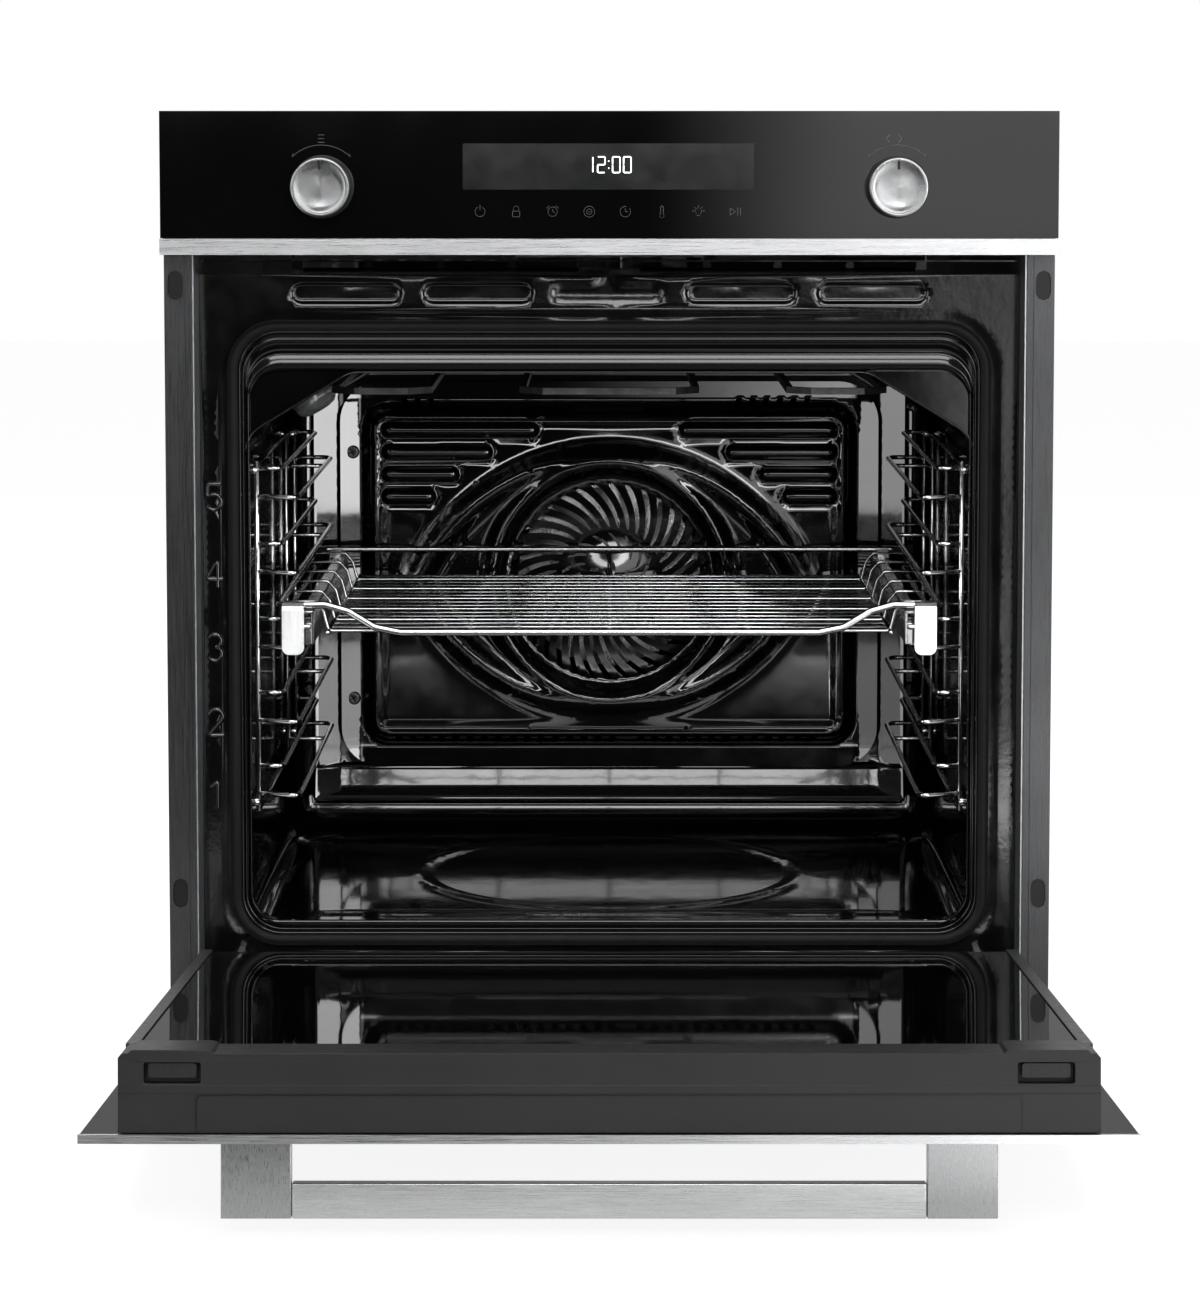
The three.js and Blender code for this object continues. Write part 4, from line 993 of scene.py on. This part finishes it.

# screws with a cross recess, drawn as a dark cross of painted shade on each head
for i, (x_, z_) in enumerate(((-200, 328), (-200, 135), (201, 233))):
    b = Build()
    b.lathe_y([(0.01, 428.3), (1.4, 428.0), (3.0, 427.6), (4.4, 427.9), (5.2, 428.9), (5.6, 430.0), (1.8, 430.1), (1.8, 434.4), (0.01, 434.5)], x_, z_, 40)
    b.done(f"baffle_screw_{i + 1}_head", SCREW, "cabinet", nodes=(f"baffle_screw_{i + 1}",), slot="brushed_steel")
    b = Build()
    for a in (0.5, 0.5 + math.pi / 2):
        ca, sa = math.cos(a) * 2.6, math.sin(a) * 2.6
        b.plate(capsule(x_ - ca, z_ - sa, x_ + ca, z_ + sa, 0.5, 4), 427.35, 428.6)
    b.done(f"baffle_screw_{i + 1}_cross_shade", PAINTED_SHADE, "cabinet", smooth=False)

# ------------------------------------------------------------------ hot-air fan
b = Build()
nb = 24
for i in range(nb):
    a = 2 * math.pi * i / nb
    rr = []
    for j in range(7):
        t = j / 6
        r = 34 + 36 * t
        aa = a + 0.42 * t - 0.1 * t * t
        rr.append((r, aa))
    ringsf = []
    for r, aa in rr:
        w = 0.5 / r
        ringsf.append([(r * math.cos(aa - w), 448.0, CZ + r * math.sin(aa - w)), (r * math.cos(aa + w), 448.0, CZ + r * math.sin(aa + w)),
                       (r * math.cos(aa + w + 0.13), 470.2, CZ + r * math.sin(aa + w + 0.13)), (r * math.cos(aa - w + 0.13), 470.2, CZ + r * math.sin(aa - w + 0.13))])
    b.rings(ringsf)
b.lathe_y([(12, 469.6), (30, 469.6), (50, 468.6), (71.6, 470), (71.9, 470.8), (71.4, 471.4), (12, 471.4)], 0, CZ, 72)
b.lathe_y([(0.01, 448.6), (6, 448.8), (9.5, 450.4), (11, 453), (11.2, 470.5), (4, 471.6), (4, 505.5), (0.01, 505.6)], 0, CZ, 40)
b.done("hot_air_fan_rotor", FANSTEEL, "hot_air_fan", nodes=("convection_fan",), slot="brushed_steel", angle=40)

# ------------------------------------------------------------------ lamp
LN = Vector((0.515, 0, -0.857)).normalized()
q = Vector((0, 1, 0)).rotation_difference(LN)


def lamp_piece(name, prof, mat, node=None, n_=48, slot=None):
    b = Build(lambda x, y, z: P(*(Vector((-225, 318, 383.2)) + q @ Vector((x, y, z)))))
    b.lathe_y(prof, 0, 0, n_)
    return b.done(name, mat, "cabinet", nodes=(node,) if node else (), slot=slot, angle=40)


lamp_piece("lamp_cover_glass", [(0.01, 17.6), (7, 17.3), (12.6, 16.0), (15.6, 13.2), (17.0, 9.0), (17.6, 3.0), (18.4, 1.0), (18.5, -5.8), (15.6, -5.8), (15.2, 3.0),
                                (14.6, 8.6), (12.6, 12.4), (8, 14.4), (0.01, 15.4)], LAMP_GLASS, "lamp_cover", slot="clear_glass")
lamp_piece("lamp_reflector", [(0.01, 1.2), (6, 1.6), (10, 3.4), (13.2, 7.2), (13.8, 7.0), (10.6, 2.4), (6, 0.2), (0.01, -0.2)], FANSTEEL, slot="chrome_wire")
lamp_piece("lamp_trim_ring", [(18.8, 1.6), (20.4, 2.2), (22.6, 1.8), (23.6, 0.6), (23.4, -0.2), (18.8, -0.2)], CHROME, slot="chrome_wire")

# ------------------------------------------------------------------ side racks
LOW = [327, 275, 223, 172, 121]


def side_rack(s):
    b = Build()
    X = 242 * s
    for z in LOW:
        b.wire([(X, 60.2, z + 0.2), (s * 236, 57, z + 0.2), (s * 216, 50, z), (s * 213.5, 58, z), (s * 213.5, 380, z), (s * 217, 391, z), (X, 391, z)], 1.75, 10, bend=7)
        b.wire([(X, 60, z + 19.5), (s * 227, 57, z + 19.5), (s * 225, 66, z + 19.5), (s * 225, 378, z + 19.5), (s * 228, 391, z + 19.5), (X, 391, z + 19.5)], 1.75, 10, bend=6)
        b.wire([(X, 312, z), (s * 213.5, 312, z)], 1.6, 10)
    for y in (60, 312, 391):
        b.wire([(X, y, 109), (X, y, 351)], 2.0, 12)
    b.wire([(X, 60, 110.5), (X, 391, 110.5)], 2.0, 12)
    b.wire([(X, 60, 350), (X, 391, 350)], 2.0, 12)
    for y, z in ((60, 115), (60, 345), (391, 115), (391, 345)):
        b.wire([(X, y, z), (s * 246.4, y, z)], 3.2, 14)
    return b


side_rack(1).done("right_shelf_wires", CHROME, "cabinet", nodes=("right_shelf_support",), slot="chrome_wire", angle=60)
side_rack(-1).done("left_shelf_wires", CHROME, "cabinet", nodes=("left_shelf_support",), slot="chrome_wire", angle=60)

# ------------------------------------------------------------------ runner carriers
for s, nm in ((1, "right_runner_carrier"), (-1, "left_runner_carrier")):
    b = Build()

    def bx(x0, x1, y0, y1, z0, z1):
        a_, c_ = sorted((s * x0, s * x1))
        b.box(a_, c_, y0, y1, z0, z1)

    bx(203.2, 206.9, 34, 402, 228, 242.6)
    bx(201.6, 203.4, 34, 402, 228, 250.4)
    bx(201.6, 211, 34, 402, 248.9, 250.4)
    bx(206, 215, 384, 388, 249.8, 256.4)
    body_ = b.done(nm + "_bar", RUNNER_RAIL, "rack", nodes=(nm,), slot="chrome_wire")
    bv = body_.modifiers.new("bevel", "BEVEL"); bv.width = 0.0004; bv.segments = 2; bv.limit_method = "ANGLE"
    # front plate: square top shoulders, round lower corners, rolled top; made much lighter than the rest of the carrier
    # as painted light
    out = [(208, 252), (208, 226)] + [(213 + 5 * math.cos(math.radians(a)), 226 + 5 * math.sin(math.radians(a))) for a in range(190, 271, 16)] + \
          [(218 + 5 * math.cos(math.radians(a)), 226 + 5 * math.sin(math.radians(a))) for a in range(270, 351, 16)] + [(223, 226), (223, 252)]
    b = Build()
    b.plate([(s * x_, z_) for x_, z_ in out], 30.2, 32.9)
    fp = b.done(nm + "_face", CHROME_PAINTED_LIGHT, "rack", slot="chrome_wire")
    bv = fp.modifiers.new("bevel", "BEVEL"); bv.width = 0.0009; bv.segments = 3; bv.limit_method = "ANGLE"
    b = Build()
    prof_ = [(30.2, 251.6), (30.6, 254.4), (33.0, 256.6), (40.0, 256.8), (40.0, 254.9), (33.8, 254.6), (32.4, 253.2), (32.4, 251.6)]
    b.rings([[(s * 208.2, y, z) for y, z in prof_], [(s * 222.8, y, z) for y, z in prof_]])
    tp = b.done(nm + "_cap", RUNNER_RAIL, "rack", slot="chrome_wire")
    b = Build()
    b.wire([(s * 214.5, 32, 232.5), (s * 214.5, 44, 232.5)], 2.6, 16)
    b.wire([(s * 204, 33, 240), (s * 212, 33, 240)], 2.0, 10)
    b.done(nm + "_peg", RUNNER_RAIL, "rack", slot="chrome_wire")

# ------------------------------------------------------------------ wire rack
b = Build()
zf, zg = 254.2, 234.5
front = [(-226, 44, zf), (-219, 38, zf), (-194, 38, zf + 0.4), (-178, 38, 250), (-160, 38, 239), (-143, 38, 235.6),
         (143, 38, 235.6), (160, 38, 239), (178, 38, 250), (194, 38, zf + 0.4), (219, 38, zf), (226, 44, zf)]
loop = front + [(226, 402, zf), (219, 408, zf), (-219, 408, zf), (-226, 402, zf)]
b.wire(loop, 2.5, 14, closed=True, bend=9)
for s in (-1, 1):
    b.wire([(s * 193, 46, zg), (s * 193, 400, zg)], 1.7, 10)
nb = 17
for i in range(nb):
    y = 56 + i * (396 - 56) / (nb - 1)
    if i % 3 == 0:
        b.wire([(-226, y, zf + 0.4), (-202, y, zf + 0.4), (-196.5, y, zf - 6), (-193, y, zg), (193, y, zg), (196.5, y, zf - 6), (202, y, zf + 0.4), (226, y, zf + 0.4)], 1.05, 10, bend=4)
    else:
        b.wire([(-195, y, zg), (195, y, zg)], 1.05, 10)
for x_ in (-97, 0, 97):
    b.wire([(x_, 38, 235.6), (x_, 48, 232.2), (x_, 400, 231.6), (x_, 404, 240), (x_, 408, zf)], 1.6, 10, bend=5)
b.done("wire_rack_grid", CHROME, "rack", nodes=("wire_rack",), slot="chrome_wire", angle=60)

# ------------------------------------------------------------------ door
def dplate(name, outline, t0, t1, mat, hol=(), bev=0.6, nodes=(), slot=None, smooth_=True, seg=2, body="door"):
    """Plate on the door: outline in x, z of the closed door, from depth t0 to t1."""
    b = Build(lambda x, t, z: D(x, t, z))
    b.plate(outline, t0, t1, holes=hol)
    o = b.done(name, mat, body, nodes=nodes, slot=slot, smooth=smooth_)
    if bev:
        m = o.modifiers.new("bevel", "BEVEL")
        m.width = bev / 1000
        m.segments = seg
        m.limit_method = "ANGLE"
        m.angle_limit = math.radians(35)
    return o


# top cap: a moulded front with pockets for the tabs
def cap_piece():
    b = Build(lambda x, t, z: D(x, t, z))
    W = 275.5
    # outer face, facing the reader when the door is open: outline in x, t
    outline = [(-W, 5.3), (W, 5.3), (W, 47.5), (W - 2.5, 50), (270, 50), (268.5, 51.6), (267, 52), (226, 52), (223, 51.4), (221.5, 50),
               (-221.5, 50), (-223, 51.4), (-226, 52), (-267, 52), (-268.5, 51.6), (-270, 50), (-W + 2.5, 50), (-W, 47.5)]
    pockets = [rrect(s * 245 - 16, s * 245 + 16, 33, 45, 1.5, 3) for s in (-1, 1)]
    n0 = len(outline)
    polys = [outline] + pockets
    tris = geometry.tessellate_polygon([[Vector((p[0], p[1], 0)) for p in q] for q in polys])
    flat = [p for q in polys for p in q]
    k = len(flat)
    Z1, Z0 = 487.6, 450.1
    v = [(p[0], p[1], Z1) for p in flat]
    f = [tuple(t) for t in tris]
    # outer sides down
    v += [(p[0], p[1], Z0) for p in outline]
    for i in range(n0):
        j = (i + 1) % n0
        f.append((i, j, k + j, k + i))
    # back closes as one face
    f.append(tuple(k + i for i in range(n0 - 1, -1, -1)))
    base = n0
    kk = len(v)
    # pocket walls and floors
    for q in pockets:
        m_ = len(q)
        v += [(p[0], p[1], Z1 - 8.2) for p in q]
        for i in range(m_):
            j = (i + 1) % m_
            f.append((base + i, base + j, kk + j, kk + i))
        f.append(tuple(kk + i for i in range(m_)))
        base += m_
        kk += m_
    b.add(v, f)
    return b


cap = cap_piece().done("door_top_cap_shell", PLASTIC_CAP, "door", nodes=("door_top_cap",), slot="dark_plastic", angle=30)
# near-black plates on the pocket floors: painted shade inside the tab pockets
for sx in (-1, 1):
    b = Build(lambda x, t, z: D(x, t, z))
    b.plate(rrect(sx * 245 - 15.8, sx * 245 + 15.8, 33.2, 44.8, 1.4, 3), 479.5, 480.4, axis="z")
    b.done("cap_pocket_shade_" + ("left" if sx < 0 else "right"), PAINTED_SHADE, "door", smooth=False)
bv = cap.modifiers.new("bevel", "BEVEL"); bv.width = 0.0005; bv.segments = 2; bv.limit_method = "ANGLE"; bv.angle_limit = math.radians(50)


def on_cap(name, outline, z0, z1, mat, hol=(), bev=0.0, body="door", slot=None):
    """Flat detail on the cap's outer face: outline in x, t."""
    b = Build(lambda x, t, z: D(x, t, z))
    b.plate(outline, z0, z1, axis="z", holes=hol)
    o = b.done(name, mat, body, slot=slot)
    if bev:
        m = o.modifiers.new("bevel", "BEVEL")
        m.width = bev / 1000
        m.segments = 2
        m.limit_method = "ANGLE"
    return o


# raised band along the upper part, and the thin rim of the lower field, coloured darker as a painted shade line along
# the field's edge
on_cap("cap_band", [(-275.2, 27.6), (275.2, 27.6), (275.2, 32.4), (-275.2, 32.4)], 487.2, 487.95, PLASTIC_CAP, bev=0.35, slot="dark_plastic")
on_cap("cap_field_rim_shade", rrect(-232, 232, 5.6, 27.0, 4, 6), 487.2, 487.85, BLACK_PLASTIC_AND_SHADE, hol=[rrect(-231.2, 231.2, 5.7, 26.2, 3.4, 6)], bev=0.15, slot="dark_plastic")
for s, nm in ((-1, "left"), (1, "right")):
    cx = s * 245
    b = Build(lambda x, t, z: D(x, t, z))
    out = rrect(cx - 13.6, cx + 13.6, 36.2, 44.4, 1.6, 4)
    b.plate(out, 470.2, 486.4, axis="z")
    for k in range(5):
        b.plate([(cx - 9 + k * 4.0, 38.0), (cx - 8.2 + k * 4.0, 38.0), (cx - 8.2 + k * 4.0, 42.4), (cx - 9 + k * 4.0, 42.4)], 486.2, 486.6, axis="z")
    o = b.done(nm + "_release_button", PLASTIC_CAP, nm + "_release", nodes=(nm + "_release_tab",), slot="dark_plastic")
    bv = o.modifiers.new("bevel", "BEVEL"); bv.width = 0.0004; bv.segments = 2; bv.limit_method = "ANGLE"

# handle: flat brushed bar and two broad posts with fine seams; the posts use a darker copy of the steel as painted
# shade
b = Build(lambda x, t, z: D(x, t, z))
b.box(-180.0, 180.0, -48, -28, 450, 460)
hb = b.done("handle_bar", STEEL_H, "door", nodes=("door_handle",), slot="brushed_steel", smooth=True)
bv = hb.modifiers.new("bevel", "BEVEL"); bv.width = 0.0006; bv.segments = 3; bv.limit_method = "ANGLE"
for s, nm in ((-1, "left"), (1, "right")):
    b = Build(lambda x, t, z: D(x, t, z))
    a_, c_ = sorted((s * 180.5, s * 220.5))
    b.box(a_, c_, -48, -0.2, 450, 460)
    o = b.done("handle_post_" + nm, STEEL_Z_SHADED, "door", slot="brushed_steel")
    bv = o.modifiers.new("bevel", "BEVEL"); bv.width = 0.0006; bv.segments = 3; bv.limit_method = "ANGLE"

# printed border of the inner glass
b = Build(lambda x, t, z: D(x, t, z))
b.plate(rrect(-266, 266, 26, 447.5, 6, 4), 49.02, 49.12, holes=[rrect(-205, 205, 70, 400, 10, 6)])
b.done("door_glass_print", GLASS_DOOR, "door", slot="black_glass", smooth=False)

# ------------------------------------------------------------------ housing details
def long_ribs(name, ribs, plane, at, out, body="cabinet"):
    """Raised stiffening ribs on a flat sheet: each rib is a rounded capsule with sloped flanks."""
    b = Build()
    put = {"x": lambda p, d: (d, p[0], p[1]), "y": lambda p, d: (p[0], d, p[1]), "z": lambda p, d: (p[0], p[1], d)}[plane]
    for x0, z0, x1, z1, r in ribs:
        lv = [(r, 0.0), (r * 0.86, 0.45), (r * 0.62, 1.0), (r * 0.4, 1.2)]
        b.rings([[put(p, at + out * h) for p in capsule(x0, z0, x1, z1, rr, 10)] for rr, h in lv])
    return b.done(name, ZINC, body, slot="zinc_steel", angle=60)


for sx, nm in ((-1, "left"), (1, "right")):
    long_ribs("side_ribs_" + nm, [(60, 120, 440, 120, 9), (60, 250, 440, 250, 9), (60, 380, 440, 380, 9), (475, 90, 475, 440, 7)], "x", sx * 279.02, sx)
long_ribs("rear_ribs", [(-180, 180, 180, 180, 9), (-180, 300, 180, 300, 9), (-180, 420, 180, 420, 9), (-235, 140, -235, 460, 7), (235, 140, 235, 440, 7)], "y", 539.02, 1)
long_ribs("top_ribs", [(-180, 90, 180, 90, 9), (-180, 200, 180, 200, 9), (-225, 60, -225, 480, 7), (225, 60, 225, 480, 7)], "z", 577.02, 1)


def screws(name, spots, axis, at, out):
    """Pan-head screws standing on a sheet."""
    b = Build()
    put = {"x": lambda u, v_, d: (d, u, v_), "y": lambda u, v_, d: (u, d, v_), "z": lambda u, v_, d: (u, v_, d)}[axis]
    for u, v_ in spots:
        rr = []
        for r, h in ((4.6, 0.02), (4.6, 0.5), (4.2, 1.3), (3.2, 2.0), (1.6, 2.35), (0.05, 2.4)):
            rr.append([put(u + r * math.cos(2 * math.pi * k / 24), v_ + r * math.sin(2 * math.pi * k / 24), at + out * h) for k in range(24)])
        b.rings(rr)
    o = b.done(name, ZINC_DULL, "cabinet", slot="zinc_steel", angle=50)
    # dark cross bars on the heads: painted shade standing in for the cross recesses
    c = Build()
    for u, v_ in spots:
        for a in (0.4, 0.4 + math.pi / 2):
            ca, sa = 2.0 * math.cos(a), 2.0 * math.sin(a)
            q_ = capsule(u - ca, v_ - sa, u + ca, v_ + sa, 0.42, 4)
            c.rings([[put(p[0], p[1], at + out * 1.6) for p in q_], [put(p[0], p[1], at + out * 2.46) for p in q_]])
    c.done(name + "_cross_shade", PAINTED_SHADE, "cabinet", smooth=False)
    return o


for sx, nm in ((-1, "left"), (1, "right")):
    screws("side_screws_" + nm, [(14, 30), (14, 300), (14, 550), (525, 30), (525, 300), (525, 550), (270, 562), (270, 14)], "x", sx * 279.02, sx)
screws("rear_screws", [(sx * 268, z) for sx in (-1, 1) for z in (16, 160, 310, 460, 564)] + [(-90, 566), (90, 566), (-90, 12), (90, 12)], "y", 539.02, 1)
screws("top_screws", [(sx * 268, y) for sx in (-1, 1) for y in (20, 190, 360, 525)] + [(-90, 528), (90, 528)], "z", 577.02, 1)

# folded edge strips where the sheets meet, and a blank data plate
b = Build()
for sx in (-1, 1):
    b.box(*(sorted((sx * 279.05, sx * 279.75))), 518, 538.5, 2, 575)
    b.box(*(sorted((sx * 279.05, sx * 279.75))), 2, 9, 2, 575)
for sx in (-1, 1):
    b.box(*(sorted((sx * 259, sx * 278))), 539.05, 539.75, 2, 575)
b.box(-258.5, 258.5, 539.05, 539.75, 556, 575)
b.box(-258.5, 258.5, 539.05, 539.75, 2, 20)
hs = b.done("housing_seams", ZINC, "cabinet", slot="zinc_steel")
bv = hs.modifiers.new("bevel", "BEVEL"); bv.width = 0.0003; bv.segments = 2; bv.limit_method = "ANGLE"
b = Build()
b.plate(rrect(-60, 60, 330, 390, 3, 4), 539.05, 539.6)
dp = b.done("data_plate", STEEL_TRIM, "cabinet", slot="brushed_steel")
bv = dp.modifiers.new("bevel", "BEVEL"); bv.width = 0.0002; bv.segments = 2; bv.limit_method = "ANGLE"
b = Build()
b.rings([[(205 + r * math.cos(2 * math.pi * k / 6 + 0.3), y, 505 + r * math.sin(2 * math.pi * k / 6 + 0.3)) for k in range(6)] for r, y in ((14.2, 539.1), (14.6, 539.5), (14.6, 542.6), (13.6, 543.4), (11.9, 543.4), (11.9, 539.1))], closed=True)
b.done("gland_nut", PLASTIC, "cabinet", slot="dark_plastic", angle=30)

# ------------------------------------------------------------------ lights and stage
world = bpy.data.worlds.new("studio")
scene.world = world
world.use_nodes = True
nt = world.node_tree
for n_ in list(nt.nodes):
    nt.nodes.remove(n_)
out = nt.nodes.new("ShaderNodeOutputWorld")
mixs = nt.nodes.new("ShaderNodeMixShader")
bgc = nt.nodes.new("ShaderNodeBackground")
bgc.inputs["Color"].default_value = (1, 1, 1, 1)
bgc.inputs["Strength"].default_value = 1.0
bgl = nt.nodes.new("ShaderNodeBackground")
lp = nt.nodes.new("ShaderNodeLightPath")
tc = nt.nodes.new("ShaderNodeTexCoord")
sep = nt.nodes.new("ShaderNodeSeparateXYZ")
rampy = nt.nodes.new("ShaderNodeMapRange")
rampy.inputs["From Min"].default_value = -0.25
rampy.inputs["From Max"].default_value = 0.6
rampy.inputs["To Min"].default_value = 0.02
rampy.inputs["To Max"].default_value = 0.28
rampz = nt.nodes.new("ShaderNodeMapRange")
rampz.inputs["From Min"].default_value = 0.15
rampz.inputs["From Max"].default_value = 1.0
rampz.inputs["To Min"].default_value = 0.0
rampz.inputs["To Max"].default_value = 0.5
addw = nt.nodes.new("ShaderNodeMath")
addw.operation = "ADD"
nt.links.new(tc.outputs["Generated"], sep.inputs[0])
nt.links.new(sep.outputs["Y"], rampy.inputs["Value"])
nt.links.new(sep.outputs["Z"], rampz.inputs["Value"])
nt.links.new(rampy.outputs["Result"], addw.inputs[0])
nt.links.new(rampz.outputs["Result"], addw.inputs[1])
nt.links.new(addw.outputs[0], bgl.inputs["Strength"])
bgl.inputs["Color"].default_value = (1, 1, 1, 1)
nt.links.new(lp.outputs["Is Camera Ray"], mixs.inputs[0])
nt.links.new(bgl.outputs[0], mixs.inputs[1])
nt.links.new(bgc.outputs[0], mixs.inputs[2])
nt.links.new(mixs.outputs[0], out.inputs[0])


def area(name, loc, target, sx, sy, radiance, fade=None, spread=180):
    """A soft box given by how bright it looks; fade makes it grow from dark at one side."""
    l = bpy.data.lights.new(name, "AREA")
    l.shape = "RECTANGLE"
    l.size, l.size_y = sx, sy
    l.energy = radiance * sx * sy * math.pi
    l.spread = math.radians(spread)
    o = bpy.data.objects.new(name, l)
    scene.collection.objects.link(o)
    o.location = loc
    d = Vector(target) - Vector(loc)
    o.rotation_euler = d.to_track_quat("-Z", "Y").to_euler()
    o.visible_camera = False
    if fade:
        l.use_nodes = True
        lt = l.node_tree
        em = next(n_ for n_ in lt.nodes if n_.type == "EMISSION")
        geo = lt.nodes.new("ShaderNodeNewGeometry")
        sp = lt.nodes.new("ShaderNodeSeparateXYZ")
        mr_ = lt.nodes.new("ShaderNodeMapRange")
        mr_.interpolation_type = "SMOOTHSTEP"
        mr_.inputs["From Min"].default_value = fade[0]
        mr_.inputs["From Max"].default_value = fade[1]
        lt.links.new(geo.outputs["Parametric"], sp.inputs[0])
        lt.links.new(sp.outputs["X"], mr_.inputs["Value"])
        lt.links.new(mr_.outputs["Result"], em.inputs["Strength"])
    return o


area("card_left", (-1.62, -3.1, 0.5), (0, 0, 0.3), 0.8, 1.4, 3.6)
area("card_right", (1.62, -3.1, 0.5), (0, 0, 0.3), 0.8, 1.4, 8)
area("card_top_front", (0, -3.2, 1.75), (0, 0, 0.25), 2.2, 0.75, 7)
area("card_top", (0, -1.0, 2.3), (0, -0.1, 0.2), 2.2, 0.8, 7)
area("card_side_left", (-2.4, -0.9, 1.0), (0, -0.2, 0.2), 0.8, 1.8, 5)
area("card_side_right", (2.4, -0.9, 1.0), (0, -0.2, 0.2), 0.8, 1.8, 6)
area("card_above_camera", (0, -3.2, 0.725), (0, 0, 0.35), 1.9, 0.16, 7)
area("card_gradient_top", (0.75, -4.4, 0.80), (0.75, 0, 0.80), 1.4, 0.86, 1.9, fade=(0.0, 0.3))
area("card_gradient_low", (0.93, -4.4, -0.35), (0.93, 0, -0.35), 0.9, 1.36, 2.2, fade=(0.0, 0.3))
area("card_low", (0.15, -1.7, -0.16), (0, -0.7, -0.05), 1.6, 0.14, 8.0, fade=(0.35, 0.85))
area("card_back", (0, 2.6, 2.0), (0, 0, 0.3), 2.5, 1.2, 6)

# floor
fm = bpy.data.materials.new("floor_pale")
fm.use_nodes = True
fb = fm.node_tree.nodes["Principled BSDF"]
fb.inputs["Base Color"].default_value = (0.16, 0.16, 0.16, 1)
fb.inputs["Emission Color"].default_value = (1, 1, 1, 1)
fb.inputs["Emission Strength"].default_value = 0.9
fb.inputs["Specular IOR Level"].default_value = 0.1
tcn = fm.node_tree.nodes.new("ShaderNodeTexCoord")
nn = fm.node_tree.nodes.new("ShaderNodeTexNoise")
nn.inputs["Scale"].default_value = 40
mr = fm.node_tree.nodes.new("ShaderNodeMapRange")
mr.inputs["To Min"].default_value = 0.75
mr.inputs["To Max"].default_value = 0.9
fm.node_tree.links.new(tcn.outputs["Object"], nn.inputs["Vector"])
fm.node_tree.links.new(nn.outputs["Fac"], mr.inputs["Value"])
fm.node_tree.links.new(mr.outputs["Result"], fb.inputs["Roughness"])
me = bpy.data.meshes.new("floor")
s = 9.0
me.from_pydata([(-s, -1.05, -0.050), (s, -1.05, -0.050), (s, s, -0.050), (-s, s, -0.050)], [], [(0, 1, 2, 3)])
fl = bpy.data.objects.new("floor", me)
scene.collection.objects.link(fl)
me.materials.append(fm)

scene.view_settings.view_transform = "Standard"
scene.view_settings.look = "None"
scene.view_settings.exposure = 0.0
scene.view_settings.gamma = 0.86
